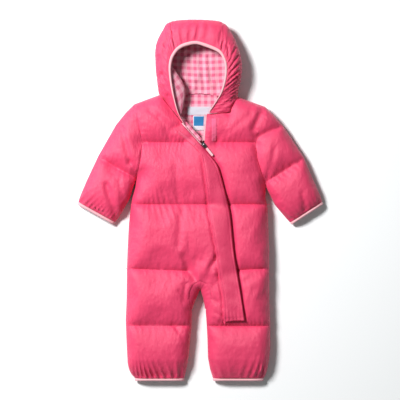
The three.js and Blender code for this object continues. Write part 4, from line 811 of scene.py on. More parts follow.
def ring_binding(name, plan, out):
    """A ribbed roll past the end of a flat tube."""
    w = crowded(130)
    ring = flat_tube(plan, w, np.array([1.0]))[0]
    outer, inner = ring[:, :3], ring[:, 3:]
    around = np.concatenate([[0], np.cumsum(np.linalg.norm(np.diff(outer, axis=0), axis=1))])
    rib = 0.28 * np.cos(2 * np.pi * around / RIB)
    middle = (outer + inner) / 2
    half = (outer - inner) / 2
    size = np.linalg.norm(half, axis=1, keepdims=True)
    turns = np.linspace(0, 2 * np.pi, 17)
    out = np.array([*out, 0.0])
    rows = []
    for turn in turns:
        swell = 1 + (0.9 + rib)[:, None] / np.maximum(size, 0.5) * (np.sin(turn) ** 2)
        across = half * np.cos(turn) * swell
        rows.append(middle + across + out * (SEAM_GAP + BINDING_LENGTH / 2 * (1 + np.sin(turn))))
    rows[-1] = rows[0]
    points, faces = merge_grids([np.array(rows)])
    piece = new_mesh(name, points, faces)
    tidy_mesh(piece)
    return piece


bindings = {}
for side, plan in SLEEVE_PLANS.items():
    a, b = plan(np.array(0.0), np.array(1.0)), plan(np.array(1.0), np.array(1.0))
    across = (b - a) / np.linalg.norm(b - a)
    away = np.array([across[1], -across[0]])
    away = away if away[1] < 0 else -away
    bindings["cuff_binding_" + side] = ring_binding("cuff_elastic_" + side, plan, away)
for side, start, end in (
        ("right", RIGHT_SIDE["x"][-1], RIGHT_INSEAM["x"][-1]),
        ("left", LEFT_INSEAM["x"][-1], LEFT_SIDE["x"][-1])):
    plan = lambda w, t, a=(start, end): np.stack([lerp(a[0], a[1], w), HEM + 0 * w], -1)
    bindings["hem_binding_" + side] = ring_binding("hem_elastic_" + side, plan, (0, -1))
print("bindings:", {name: len(piece.data.polygons) for name, piece in bindings.items()})

# %% [markdown]
# ## Hood
#
# Three shell pieces: two sides and a centre strip from the forehead to the nape. They stand up round the
# face, which a height over the table can't say, so the hood has a table of its own: the face opening
# (rim) and the outline (edge) at places round it. Smooth curves join the rows.

# %% Hood table and surface
HOOD = table(
    ("rim_x", "rim_y", "rim_z", "edge_x", "edge_y", "edge_z", "belly"),
    (-35.7, 161.5, 45, -85, 221.5, 17, 0), (-48.5, 187, 50, -88, 240, 21, 0),
    (-57.5, 219, 55, -90, 257, 25, 0), (-63.5, 251, 58, -92, 278, 27, 0),
    (-65.5, 278, 59, -93.5, 305, 28, 0), (-61.5, 300, 58, -91, 329, 28, 0),
    (-49.5, 318, 57, -78, 356, 28, 0), (-33, 327.5, 56, -62, 374, 28, 0),
    (-5, 332, 55, -6, 379, 28, 0), (38, 316, 56, 48.5, 372, 28, 0),
    (52, 298, 58, 70.5, 341, 28, 0), (57, 277, 59, 84, 304, 28, 0), (55, 252, 58, 87, 276, 27, 0),
    (47.5, 226, 54, 84, 250, 25, 4), (33, 202, 49, 80, 233, 21, 11), (19, 181.5, 45, 78.8, 217.4, 17, 20),
)
LAST = 15
SEAM_RIGHT, CREST, SEAM_LEFT = 7, 8, 9
HOOD_WALL, HOOD_BACK_WALL, HOOD_EDGE_ROUND = 8, 16.6, 22
HOOD_SLOPE = 14
HOOD_MIDDLE = np.array([-5, 290, 25.0])
LINING_MIDDLE = np.array([-5, 290, 45.0])
LINING = 1.6


def curve_through(values, place, roundness=0.85):
    """A smooth curve through evenly numbered values, less round where it would overshoot."""
    values = np.asarray(values, float)
    slopes = np.gradient(values) * roundness
    i = np.clip(np.floor(place).astype(int), 0, len(values) - 2)
    t = place - i
    a, b, da, db = values[i], values[i + 1], slopes[i], slopes[i + 1]
    t2, t3 = t * t, t * t * t
    return a * (2 * t3 - 3 * t2 + 1) + b * (3 * t2 - 2 * t3) + da * (t3 - 2 * t2 + t) + db * (t3 - t2)


FINE = np.linspace(0, LAST, 241)
HOOD_OUTLINE = table(SEGMENT, *run(np.column_stack([
    curve_through(HOOD["edge_x"], FINE), curve_through(HOOD["edge_y"], FINE)])))


SEAMS_AT_EDGE, SEAMS_AT_RIM = (0, 4, 7, 9, 11, LAST), (0, 3.5, 5.8, 9.3, 10.9, LAST)


def hood_surface(station, turn, back, depth=0.0, floor=0.0, slope=None, slanted=True):
    """Points for arrays of stations (round the hood) and turns (0 rim, 1 outline, 2 at back, below)."""
    if slanted:
        at_rim = np.interp(station, SEAMS_AT_EDGE, SEAMS_AT_RIM)
        station = lerp(at_rim, station, np.sin(np.clip(turn, 0, 1) * np.pi / 2))
    s = {k: curve_through(v, station) for k, v in HOOD.items()}
    rim, edge = np.stack([s["rim_x"], s["rim_y"]], -1), np.stack([s["edge_x"], s["edge_y"]], -1)
    out = (edge - rim) / np.linalg.norm(edge - rim, axis=-1, keepdims=True)
    rim, edge = rim + out * depth * 0.25, edge - out * depth
    sine, cosine = np.sin(np.clip(turn, 0, 1) * np.pi / 2), np.cos(np.clip(turn, 0, 1) * np.pi / 2)
    bulge = s["belly"] * (0.75 if depth else 1) * (1 - abs(2 * sine - 1))
    wall = lerp(rim, edge, sine[..., None]) + bulge[..., None] * np.array([0.66, -0.75])
    height = s["edge_z"] + (s["rim_z"] - 0.6 * depth - s["edge_z"]) * cosine
    beyond = np.clip(turn - 1, 0, 1)[..., None]
    under = lerp(edge, back, beyond)
    if slope is None:
        share = rounding(distance(under[..., 0], under[..., 1], HOOD_OUTLINE).min(-1), HOOD_EDGE_ROUND)
    else:
        share = np.clip(np.linalg.norm(under - edge, axis=-1) / slope, 0, 1)
    lying = turn > 1
    p = np.where(lying[..., None], under, wall)
    z = np.where(lying, s["edge_z"] + (floor - s["edge_z"]) * share, height)
    lowest = nape_y(p[..., 0]) + SEAM_GAP * (1 + 2 * depth / HOOD_WALL)
    y = np.where(turn >= 1, np.maximum(p[..., 1], lowest), p[..., 1])
    return np.stack([p[..., 0], y, z], -1)


def nape_point(x):
    return np.stack([x, nape_y(x) + SEAM_GAP], -1)


def corner_below(station, nape):
    edge = np.array([HOOD["edge_x"][station], HOOD["edge_y"][station]])
    return lerp(edge, nape_point(np.array(float(nape))), 0.07)


def right_under(s):
    share = np.clip(s / SEAM_RIGHT, 0, 1)[..., None]
    return lerp(nape_point(np.array(-50.0)), corner_below(SEAM_RIGHT, -50), share) - [0.5, 0]


def left_under(s):
    share = np.clip((s - SEAM_LEFT) / (LAST - SEAM_LEFT), 0, 1)[..., None]
    return lerp(corner_below(SEAM_LEFT, 46), nape_point(np.array(46.0)), share) + [0.5, 0]


def centre_under(s):
    return nape_point(lerp(-50.0, 46.0, (s - SEAM_RIGHT) / (SEAM_LEFT - SEAM_RIGHT)))


# %% [markdown]
# ## Creases of the hood
#
# The left side of the hood has slumped: hard creases run down from its outline to the neck. The right
# side hangs in two long soft folds beside the rim. Simulated creases fall where they like, so each
# crease of the real hood is a row of a table, pressed in along the surface after the simulation.

# %% Hood pieces
HOOD_CREASES = table(
    SEGMENT + ("depth", "reach"),
    (86, 264, 55, 236, 3.2, 2), (86, 275, 60, 249, 2.6, 1.9), (84, 289, 62, 263, 2.8, 2),
    (84, 254, 50, 224, 3.4, 2.1), (82, 246, 42, 212, 3.4, 2), (81, 238, 36, 202, 3.6, 2.1),
    (80, 230, 30, 193, 3.4, 2), (78, 222, 30, 186, 3, 2), (74, 214, 40, 188, 2.4, 1.9),
    (80, 302, 63, 276, 2.2, 2), (74, 318, 62, 290, 1.8, 2.2), (58, 322, 60, 300, 1.8, 2.4),
    (50, 332, 46, 316, 2, 2.4), (44, 350, 41, 328, 1.4, 2.4),
    (-74, 326, -79, 262, 1.8, 4), (-79, 262, -64, 214, 2.4, 4.5), (-85, 300, -86, 254, 1.4, 3.5),
    (-66, 216, -44, 174, 2.6, 4), (-82, 236, -62, 194, 2.2, 4), (-62, 350, -72, 322, 1.4, 4),
    (-76, 210, -56, 178, 2, 3.6), (-20, 366, -24, 346, 0.8, 5), (16, 364, 14, 344, 0.8, 5),
)


def creased(points, faces, table_of_creases, keep):
    """Points moved in along their normals at creases."""
    near = distance(points[:, 0], points[:, 1], table_of_creases) / table_of_creases["reach"]
    depth = 1.25 * (table_of_creases["depth"] * np.exp(-near ** 2)).sum(-1)
    ridge = (0.45 * table_of_creases["depth"] * np.exp(-((near - 1.9) / 0.9) ** 2)).max(-1)
    move = (ridge - depth) * keep
    return points + point_normals(points, faces) * move[:, None]


def rim_gathers(station, turn):
    """Short ridges where the elastic draws the rim in, strongest over the forehead."""
    strength = 0.35 + 0.9 * np.exp(-((station - 7.6) / 1.6) ** 2)
    place = station * 2.6 + 0.5 * np.sin(station * 3.1)
    near = np.clip(turn, 0, 1) / 0.16
    return strength * near * np.exp(1 - near) * (1 - 2 * abs(np.sin(np.pi * place)) ** 0.8)


def hood_piece(name, start, end, steps, turns, back, slack, pressure):
    station, turn = np.meshgrid(np.linspace(start, end, steps + 1), turns, indexing="ij")
    target = back(station)
    outer = hood_surface(station, turn, target)
    inner = hood_surface(station, turn, target, HOOD_WALL, HOOD_BACK_WALL, HOOD_SLOPE)
    grid = np.concatenate([outer, inner, turn[..., None], station[..., None]], -1)
    points, faces = merge_grids([grid])
    outer, inner, turn = points[:, :3].copy(), points[:, 3:6], points[:, 6]
    faces = upward(outer, faces, centre=HOOD_MIDDLE)
    pinned = np.maximum(edge_points(len(outer), faces), (turn > 1) * 1.0)
    loose = pinned < 0.5
    outer[loose] += random.uniform(-0.4, 0.4, (loose.sum(), 3))
    outer = puff(outer, faces, pinned, slack=slack, pressure=pressure, cap=3.5)
    keep = np.sin(np.clip(turn, 0, 1) * np.pi) ** 0.7 * (turn < 1)
    outer = creased(outer, faces, HOOD_CREASES, np.where(keep > 0, 0.3 + 0.7 * keep, 0))
    outer = outer + point_normals(outer, faces) * (rim_gathers(points[:, 7], turn) * (turn < 1))[:, None]
    return closed_piece(name, outer, faces, inner)


HALF_STATION = 0.012
side_turns = np.concatenate([np.linspace(0, 1, 25), np.linspace(1, 2, 13)[1:]])
hood = {
    "hood_side_right": hood_piece(
        "shell_hood_right", 0, SEAM_RIGHT - HALF_STATION, 84, side_turns, right_under, 0.03, 0.7),
    "hood_centre": hood_piece(
        "shell_hood_centre", SEAM_RIGHT + HALF_STATION, SEAM_LEFT - HALF_STATION, 44, side_turns,
        centre_under, 0.03, 0.8),
    "hood_side_left": hood_piece(
        "shell_hood_left", SEAM_LEFT + HALF_STATION, LAST, 90, side_turns, left_under, 0.03, 0.7),
}

# %% [markdown]
# ## Hood lining
#
# Brushed fleece in a woven check, two halves with a seam down the middle of the back. The right half has
# sagged in under the rim. The lining could copy the hood's inner wall, but then it would not hang, so it
# is the same surface set deeper, with its own folds.
#
# Its UV map is the cloth laid flat from the centre seam, so that the check follows the cloth up the
# walls.

# %% Lining halves
LINING_GAP, LINING_FLOOR, LINING_SLOPE = 1.1, HOOD_BACK_WALL, 21
LINING_CENTRE_X, LINING_TOP_Y, LINING_SAG = -2.0, 350, 46
LINING_FOLDS = table(
    SEGMENT + ("depth", "reach"),
    (20, 300, 24, 250, 1.8, 5), (-24, 310, -14, 262, 2, 6),
    (-30, 290, -20, 240, 2.4, 5), (4, 330, 30, 318, 2, 5), (-40, 316, -20, 330, 2, 5),
    (6, 262, 12, 232, 1.6, 6),
)


def lining_under(s, right):
    top = np.array([LINING_CENTRE_X, LINING_TOP_Y])
    away = (CREST - s) / CREST if right else (s - CREST) / (LAST - CREST)
    target = lerp(top, nape_point(np.array(LINING_CENTRE_X)), np.clip(away, 0, 1)[..., None])
    return target + [-0.25 if right else 0.25, 0]


def hump(place, middle, reach):
    return np.maximum(0, 1 - ((place - middle) / reach) ** 2) ** 2


def lining_half(name, start, end, steps, right):
    turns = np.concatenate([np.linspace(0, 1, 15), np.linspace(1, 2, 29)[1:]])
    station, turn = np.meshgrid(np.linspace(start, end, steps + 1), turns, indexing="ij")
    target = lining_under(station, right)
    sag = LINING_SAG * hump(station, 1.5, 3.6) * hump(turn, 0.62, 0.7) * right
    sheets = []
    for extra in (0, LINING):
        depth = HOOD_WALL + LINING_GAP + extra
        p = hood_surface(
            station, turn, target, depth, LINING_FLOOR + LINING_GAP + extra, LINING_SLOPE, slanted=False)
        p[..., 0] += sag
        x, y = p[..., 0], p[..., 1]
        near = distance(x, y, LINING_FOLDS) / LINING_FOLDS["reach"]
        folds = (LINING_FOLDS["depth"] * (np.exp(-(near - 1.6) ** 2) - 0.6 * np.exp(-near ** 2))).sum(-1)
        p[..., 2] += folds * (turn > 1)
        soft = 0.9 * np.sin(x / 17 + y / 31 + 1.3) + 0.7 * np.sin(y / 13 - x / 23) + 0.5 * np.sin(x / 7.3)
        p[..., 2] += (soft + 1.2) * np.where(turn > 1, np.sin(np.clip(turn - 1, 0, 1) * np.pi) ** 0.5, 0)
        sheets.append(p)
    step = np.linalg.norm(np.diff(sheets[1], axis=1), axis=-1)
    along = np.concatenate([np.zeros_like(step[:, :1]), np.cumsum(step, axis=1)], 1)
    along = along[:, -1:] - along
    direction = sheets[1][:, 18, :2] - sheets[1][:, -1, :2]
    direction = direction / np.maximum(np.linalg.norm(direction, axis=-1, keepdims=True), 1e-6)
    flat = sheets[1][:, -1:, :2] + direction[:, None] * along[..., None]
    flat_x, flat_y = flat[..., 0], flat[..., 1]
    warp = np.stack([np.sin(flat_y / 21) + 0.6 * np.sin(flat_x / 13), np.sin(flat_x / 24 + 1)], -1)
    flat = flat + warp * 1.6
    grid = np.concatenate([sheets[0], sheets[1], flat], -1)
    points, faces = merge_grids([grid])
    faces = upward(points[:, 3:6], faces, centre=LINING_MIDDLE)
    piece = closed_piece(name, points[:, :3], faces, points[:, 3:6])
    flat_map(piece, np.vstack([points[:, :3], points[:, 3:6]]), np.vstack([points[:, 6:]] * 2))
    return piece


def flat_map(piece, where, flat):
    """A UV map in metres: each corner takes the flat place of the nearest given point."""
    tree = KDTree(len(where))
    for i, p in enumerate(where * MM):
        tree.insert(p, i)
    tree.balance()
    place = [flat[tree.find(v.co)[1]] * MM for v in piece.data.vertices]
    layer = piece.data.uv_layers.new(name="flat")
    for loop in piece.data.loops:
        layer.data[loop.index].uv = place[loop.vertex_index]


linings = {
    "hood_lining_right": lining_half("fleece_hood_right", 0.25, CREST - 0.015, 70, True),
    "hood_lining_left": lining_half("fleece_hood_left", CREST + 0.015, LAST - 0.25, 60, False),
}
print("lining faces:", [len(p.data.polygons) for p in linings.values()])

# %% [markdown]
# ## Storm flap
#
# A double strip of shell fabric over the zip, sewn down along its left edge and free along the right one.
# Its top end is turned back. It lies on the puffed fronts, and a table of heights would cut through them,
# so rays from above find the fronts and the flap takes its height from them.

# %% Heights on the fronts
def surface_of(*pieces):
    """A tree for finding heights on pieces from above."""
    points, faces = [], []
    for piece in pieces:
        start = len(points)
        points += [v.co.copy() for v in piece.data.vertices]
        faces += [[start + i for i in f.vertices] for f in piece.data.polygons]
    return BVHTree.FromPolygons(points, faces)


def height_on(tree, x, y, otherwise):
    """Heights in millimetres where a ray from above meets the tree."""
    z = np.array(otherwise, float)
    for i in np.ndindex(z.shape):
        hit = tree.ray_cast(Vector((x[i] * MM, y[i] * MM, 0.2)), Vector((0, 0, -1)))[0]
        if hit is not None and hit.z > MM * 10:
            z[i] = hit.z / MM
    return z


def blurred(a, times=1):
    """A grid of heights, evened out with its neighbours."""
    for _ in range(times):
        p = np.pad(a, 1, mode="edge")
        a = (p[1:-1, 1:-1] * 2 + p[:-2, 1:-1] + p[2:, 1:-1] + p[1:-1, :-2] + p[1:-1, 2:]) / 6
    return a


def widened(a):
    """The highest of each height and its four neighbours."""
    p = np.pad(a, 1, mode="edge")
    return np.max([p[1:-1, 1:-1], p[:-2, 1:-1], p[2:, 1:-1], p[1:-1, :-2], p[1:-1, 2:]], 0)


fronts = surface_of(front_right, front_left)

# %% The flap
FLAP = table(
    ("left_x", "left_y", "right_x", "right_y"),
    (-51.5, 147, -38.6, 160), (-28, 124.5, -15.6, 134.8), (-5.3, 103, 3, 114.5), (2.3, 90, 20, 94),
    (7.4, 62, 38, 68), (15, 7, 54, 10), (18.7, -30, 63, -33), (32, -104, 70, -104),
    (40, -161, 78.5, -158), (48, -206, 86, -203), (50.6, -255, 93.5, -252),
)
FLAP_WALL, FLAP_LIFT = 3.0, 0.8
flap_rows, flap_columns = 170, 26


def flap_plan(across, down_share):
    """Points of the flap: across from its sewn edge to the free one, down from the top end."""
    place = down_share * (len(FLAP["left_x"]) - 1)
    left = np.stack([curve_through(FLAP["left_x"], place), curve_through(FLAP["left_y"], place)], -1)
    right = np.stack([curve_through(FLAP["right_x"], place), curve_through(FLAP["right_y"], place)], -1)
    return lerp(left, right, across[..., None])


across, along = np.meshgrid(crowded(flap_columns), np.linspace(0, 1, flap_rows + 1))
plan = flap_plan(across, along)
x, y = plan[..., 0], plan[..., 1]
width = np.linalg.norm(plan[:, -1] - plan[:, 0], axis=-1)[:, None]
rest = height_on(fronts, x, y, top_height(x, y))
rest = blurred(widened(widened(rest)), 10)
from_sewn, from_free = across * width, (1 - across) * width
from_end = (1 - along) * 440
open_share = smooth((along - 0.24) / 0.12)
free_lift = 4.6 * open_share * across ** 3
dip = 1.1 * np.exp(-((from_sewn - 4.2) / 1.1) ** 2) + 0.9 * np.exp(-(from_free - 4.2) ** 2 / 2)
dip = dip * open_share + 1.2 * np.exp(-((from_end - 5) / 1.6) ** 2)
soft = 0.5 * np.sin(y / 9 + across * 2) * np.sin(y / 31 + 1) + 0.35 * np.sin(y / 4.3 + across * 5)
tuck = 0.8 * np.exp(-(from_end / 16) ** 2) * np.sin(across * 34 + 1)
edge_round = rounding(np.minimum(np.minimum(from_sewn, from_free), from_end + 0.3), 2.4)
under = rest + FLAP_LIFT + free_lift
top = under + 0.9 + (FLAP_WALL - 0.9) * edge_round + (soft * 0.8 - dip + tuck) * edge_round
grid = np.concatenate([plan, top[..., None], plan, under[..., None]], -1)
points, faces = merge_grids([grid])
flap = closed_piece("shell_storm_flap", points[:, :3], faces, points[:, 3:])
print("flap:", len(flap.data.polygons), "faces")
on_flap = surface_of(front_right, front_left, flap)

# %% [markdown]
# ## Tapes, facing, lining and labels
#
# Thin woven pieces follow the surface that they are sewn to, and one function makes them all from a
# straight run and a width. A solidified plane would float or sink on the puffed cloth, so each strip also
# reads the surface below it. The two labels are left blank.


# %% Strips that follow a surface
def strip(name, start, end, width, tree, lift, thick, rest=None, rows=40, across_count=8, wave=0.0):
    """A thin strip over a straight run, on a surface or at a fixed height."""
    start, end = np.array(start, float), np.array(end, float)
    run_length = np.linalg.norm(end - start)
    side = np.array([-(end - start)[1], (end - start)[0]]) / run_length
    u, v = np.meshgrid(np.linspace(-0.5, 0.5, across_count + 1), np.linspace(0, 1, rows + 1))
    ends = np.minimum(v, 1 - v) * run_length
    half = width / 2 - 0.6 * (1 - rounding(ends, 0.9))
    plan = lerp(start, end, v[..., None]) + side * (2 * u * half)[..., None]
    if rest is None:
        base = blurred(height_on(tree, plan[..., 0], plan[..., 1], top_height(plan[..., 0], plan[..., 1])), 2)
    else:
        base = np.full(u.shape, float(rest))
    base = base + lift + wave * np.sin(v * run_length / 3.1 + u * 3) * 0.5
    edge = np.minimum((0.5 - abs(u)) * width, ends)
    top = base + thick * (0.35 + 0.65 * rounding(edge, 0.7))
    flat = np.stack([u * width, v * run_length], -1)
    grid = np.concatenate([plan, top[..., None], plan, base[..., None], flat], -1)
    points, faces = merge_grids([grid])
    piece = closed_piece(name, points[:, :3], faces, points[:, 3:6])
    flat_map(piece, np.vstack([points[:, :3], points[:, 3:6]]), np.vstack([points[:, 6:]] * 2))
    return piece


LINING_REST = PARTING + 0.4
LABEL_REST = LINING_REST + LINING + 0.6
LABEL_THICK = 0.9
strips = {
    "flap_hook_tape": strip("tape_hook", (-45.5, 142.2), (-9.5, 115.5), 6.5, on_flap, 0.15, 0.9),
    "front_loop_tape": strip("tape_loop", (29.5, 171), (29.5, 123), 10, fronts, 0.1, 0.9),
    "zip_tape_right": strip("tape_zip_right", (-38.4, 159.2), (0.6, 116.6), 3.4, fronts, 0.2, 0.9),
    "zip_tape_left": strip(
        "tape_zip_left", (12.9, 179), (8.2, 124), 3.2, fronts, -2.0, 0.9),
    "zip_facing": strip(
        "fleece_facing", (-31.2, 161.4), (2.2, 124.7), 8, fronts, -4.5, 1.6, wave=0.6),
    "neck_lining": strip(
        "fleece_neck", (-5, 222.8), (-5, 122), 84, None, 0, LINING, rest=LINING_REST, rows=50,
        across_count=40, wave=0.8),
    "neck_label": strip(
        "label_neck", (-1, 196.5), (-1, 178.5), 50, None, 0, LABEL_THICK, rest=LABEL_REST,
        wave=0.5),
    "size_label": strip(
        "label_size", (-2, 177.8), (-2, 146), 25, None, 0, LABEL_THICK, rest=LABEL_REST,
        wave=0.5),
}

# %% [markdown]
# ## Face binding
#
# The same ribbed elastic runs round the face opening as a flattened roll along the rim. The rim rises and
# falls, so the roll is swept along its curve in space, ring after ring, with a cap at each end.

# %% Binding of the hood
ring_count, ring_sides = 620, 16
station = np.linspace(0, LAST - 0.25, ring_count + 1)
s = {k: curve_through(v, station) for k, v in HOOD.items()}
rim = np.stack([s["rim_x"], s["rim_y"], s["rim_z"]], -1)
out = np.stack([s["edge_x"] - s["rim_x"], s["edge_y"] - s["rim_y"]], -1)
out = out / np.linalg.norm(out, axis=-1, keepdims=True)
travelled = np.concatenate([[0], np.cumsum(np.linalg.norm(np.diff(rim, axis=0), axis=1))])
rib = 0.16 * np.cos(2 * np.pi * travelled / RIB)
wander = 0.5 * np.sin(travelled / 11) * np.sin(travelled / 37)
turns = np.linspace(0, 2 * np.pi, ring_sides + 1)
rows = []
for turn in turns:
    inward = (3.7 + rib + 0.25 * wander) * (np.cos(turn) + 1) - 0.4
    p = rim[:, :2] - out * inward[:, None]
    rows.append(np.column_stack([p, rim[:, 2] - 1.2 + wander + (2.9 + rib) * np.sin(turn)]))
rows[-1] = rows[0]
body = np.array(rows)
caps = [np.repeat(body[:, end].mean(0)[None, None], ring_sides + 1, 0) for end in (0, -1)]
points, faces = merge_grids([np.concatenate([caps[0], body, caps[1]], 1)])
face_binding = new_mesh("face_elastic", points, faces)
tidy_mesh(face_binding)
bindings["hood_binding"] = face_binding
print("face binding:", round(float(travelled[-1])), "mm long")

# %% [markdown]
# ## Stitches and zip teeth
#
# Seams are lock-stitched every three millimetres or so. Hundreds of hand-placed stitches would be slow to
# change, so one node tree lays a small solid at even steps along a path: a rounded one for thread, a
# block for a zip tooth. Its sizes are inputs, and it ends in plain geometry.


# %% Node tree for rows of small solids
def row_tree():
    tree = bpy.data.node_groups.new("row of small solids", "GeometryNodeTree")
    face = tree.interface
    face.new_socket("Geometry", in_out="INPUT", socket_type="NodeSocketGeometry")
    for name in ("Step", "Length", "Width", "Height"):
        face.new_socket(name, in_out="INPUT", socket_type="NodeSocketFloat")
    face.new_socket("Round", in_out="INPUT", socket_type="NodeSocketBool")
    face.new_socket("Material", in_out="INPUT", socket_type="NodeSocketMaterial")
    face.new_socket("Geometry", in_out="OUTPUT", socket_type="NodeSocketGeometry")
    add = tree.nodes.new
    start, end = add("NodeGroupInput"), add("NodeGroupOutput")
    curve, steps = add("GeometryNodeMeshToCurve"), add("GeometryNodeCurveToPoints")
    steps.mode = "LENGTH"
    size = add("ShaderNodeCombineXYZ")
    block, thread = add("GeometryNodeMeshCube"), add("GeometryNodeMeshUVSphere")
    thread.inputs["Segments"].default_value, thread.inputs["Rings"].default_value = 6, 4
    thread.inputs["Radius"].default_value = 0.5
    shape, place = add("GeometryNodeTransform"), add("GeometryNodeInstanceOnPoints")
    choose = add("GeometryNodeSwitch")
    real, finish = add("GeometryNodeRealizeInstances"), add("GeometryNodeSetMaterial")
    link = tree.links.new
    link(start.outputs["Geometry"], curve.inputs["Mesh"])
    link(curve.outputs["Curve"], steps.inputs["Curve"])
    link(start.outputs["Step"], steps.inputs["Length"])
    for axis, name in zip("XYZ", ("Width", "Height", "Length")):
        link(start.outputs[name], size.inputs[axis])
    link(size.outputs[0], shape.inputs["Scale"])
    link(start.outputs["Round"], choose.inputs["Switch"])
    link(block.outputs["Mesh"], choose.inputs["False"])
    link(thread.outputs["Mesh"], choose.inputs["True"])
    link(choose.outputs[0], shape.inputs["Geometry"])
    link(steps.outputs["Points"], place.inputs["Points"])
    link(steps.outputs["Rotation"], place.inputs["Rotation"])
    link(shape.outputs["Geometry"], place.inputs["Instance"])
    link(place.outputs["Instances"], real.inputs["Geometry"])
    link(real.outputs["Geometry"], finish.inputs["Geometry"])
    link(start.outputs["Material"], finish.inputs["Material"])
    link(finish.outputs["Geometry"], end.inputs["Geometry"])
    return tree


ROW_TREE = row_tree()
SOCKET = {i.name: i.identifier for i in ROW_TREE.interface.items_tree if i.in_out == "INPUT"}


def row_of(name, paths, step, size, material, rounded=True):
    """One mesh of small solids along paths given in millimetres."""
    points, edges = [], []
    for path in paths:
        edges += [(len(points) + i, len(points) + i + 1) for i in range(len(path) - 1)]
        points += [tuple(p) for p in np.asarray(path) * MM]
    mesh = bpy.data.meshes.new(name + " paths")
    mesh.from_pydata(points, edges, [])
    carrier = bpy.data.objects.new(name + " paths", mesh)
    bpy.context.scene.collection.objects.link(carrier)
    modifier = carrier.modifiers.new("row", "NODES")
    modifier.node_group = ROW_TREE
    values = {"Step": step * MM, "Length": size[0] * MM, "Width": size[1] * MM, "Height": size[2] * MM,
              "Round": rounded, "Material": material}
    for key, value in values.items():
        modifier[SOCKET[key]] = value
    carrier.update_tag()
    evaluated = carrier.evaluated_get(bpy.context.evaluated_depsgraph_get())
    made = bpy.data.meshes.new_from_object(evaluated)
    bpy.data.objects.remove(carrier)
    bpy.data.meshes.remove(mesh)
    made.name = name
    piece = bpy.data.objects.new(name, made)
    bpy.context.scene.collection.objects.link(piece)
    made.shade_smooth() if rounded else made.shade_flat()
    print(name + ":", len(made.polygons), "faces")
    return piece


def laid(path, tree, lift=0.15, step=2.0):
    """A path from above, laid on a surface; path is a list of (x, y)."""
    path = np.array(path, float)
    legs = np.concatenate([[0], np.cumsum(np.linalg.norm(np.diff(path, axis=0), axis=1))])
    at = np.linspace(0, legs[-1], max(3, int(legs[-1] / step)))
    x, y = np.interp(at, legs, path[:, 0]), np.interp(at, legs, path[:, 1])
    z = height_on(tree, x, y, top_height(x, y))
    return np.column_stack([x, y, z + lift])

# %% [markdown]
# ## Materials
#
# The shell is a fine plain-weave nylon, matt with a soft sheen; the lining a brushed fleece in a two-tone
# check; the bindings knitted elastic; the tapes woven. Pictures of cloth would blur close up, so all are
# made from nodes in metres. The small class shortens what would repeat in each material.


# %% Node helpers
class Nodes:
    """A short way to write a material's node tree."""

    def __init__(self, name, colour, roughness, **sockets):
        self.material = bpy.data.materials.new(name)
        self.material.use_nodes = True
        self.tree = self.material.node_tree
        self.shader = self.tree.nodes["Principled BSDF"]
        self.shader.inputs["Base Color"].default_value = (*colour, 1)
        self.shader.inputs["Roughness"].default_value = roughness
        for key, value in sockets.items():
            self.shader.inputs[key.replace("_", " ")].default_value = value

    def add(self, kind, **values):
        node = self.tree.nodes.new(kind)
        for key, value in values.items():
            if key in node.inputs:
                node.inputs[key].default_value = value
            else:
                setattr(node, key, value)
        return node

    def link(self, a, b):
        self.tree.links.new(a, b)

    def coordinates(self, kind="Object", scale=(1, 1, 1), turn=0.0):
        place, mapping = self.add("ShaderNodeTexCoord"), self.add("ShaderNodeMapping")
        mapping.inputs["Scale"].default_value = scale
        mapping.inputs["Rotation"].default_value = (0, 0, turn)
        self.link(place.outputs[kind], mapping.inputs["Vector"])
        return mapping.outputs["Vector"]

    def noise(self, vector, scale, detail=3.0, roughness=0.55):
        node = self.add("ShaderNodeTexNoise", Scale=scale, Detail=detail, Roughness=roughness)
        self.link(vector, node.inputs["Vector"])
        return node.outputs["Fac"]

    def wave(self, vector, scale, direction, distortion=0.0):
        node = self.add("ShaderNodeTexWave", Scale=scale, Distortion=distortion, bands_direction=direction)
        self.link(vector, node.inputs["Vector"])
        return node.outputs["Fac"]

    def math(self, operation, a, b=None):
        node = self.add("ShaderNodeMath", operation=operation)
        for i, value in enumerate((a, b)):
            if isinstance(value, (int, float)):
                node.inputs[i].default_value = value
            elif value is not None:
                self.link(value, node.inputs[i])
        return node.outputs[0]

    def blend(self, share, a, b):
        node = self.add("ShaderNodeMix", data_type="RGBA")
        self.link(share, node.inputs["Factor"])
        for socket, value in ((node.inputs[6], a), (node.inputs[7], b)):
            if isinstance(value, tuple):
                socket.default_value = (*value, 1)
            else:
                self.link(value, socket)
        return node.outputs[2]

    def colour(self, socket):
        self.link(socket, self.shader.inputs["Base Color"])

    def bump(self, *layers):
        """Layers are (height socket, depth in metres)."""
        normal = None
        for height, depth in layers:
            node = self.add("ShaderNodeBump", Strength=1.0, Distance=depth)
            self.link(height, node.inputs["Height"])
            if normal is not None:
                self.link(normal, node.inputs["Normal"])
            normal = node.outputs["Normal"]
        self.link(normal, self.shader.inputs["Normal"])


# %% Shell fabric
SHELL_PINK = (0.79, 0.048, 0.143)
SHELL_DEEP = (0.70, 0.036, 0.115)


def shell_material(name, light=1.0):
    m = Nodes(name, SHELL_PINK, 0.5, Specular_IOR_Level=0.5, Sheen_Weight=0.1, Sheen_Roughness=0.4)
    place = m.coordinates()
    cloud = m.noise(place, 34.0, 3.0)
    # light scales both tones evenly; below 1 it makes a darker copy of the same nylon, which is painted
    # shade.
    pink = tuple(c * light for c in SHELL_PINK)
    deep = tuple(c * light for c in SHELL_DEEP)
    m.colour(m.blend(m.math("MULTIPLY", cloud, 0.5), pink, deep))
    crinkle = m.noise(m.coordinates(scale=(1, 0.5, 1), turn=0.25), 160.0, 5.0, 0.62)
    fine = m.noise(place, 620.0, 2.0, 0.5)
    warp = m.wave(place, 620.0, "X")
    weft = m.wave(place, 620.0, "Y")
    m.bump((crinkle, 0.0011), (fine, 0.00022), (m.math("ADD", warp, weft), 0.00005))
    return m.material


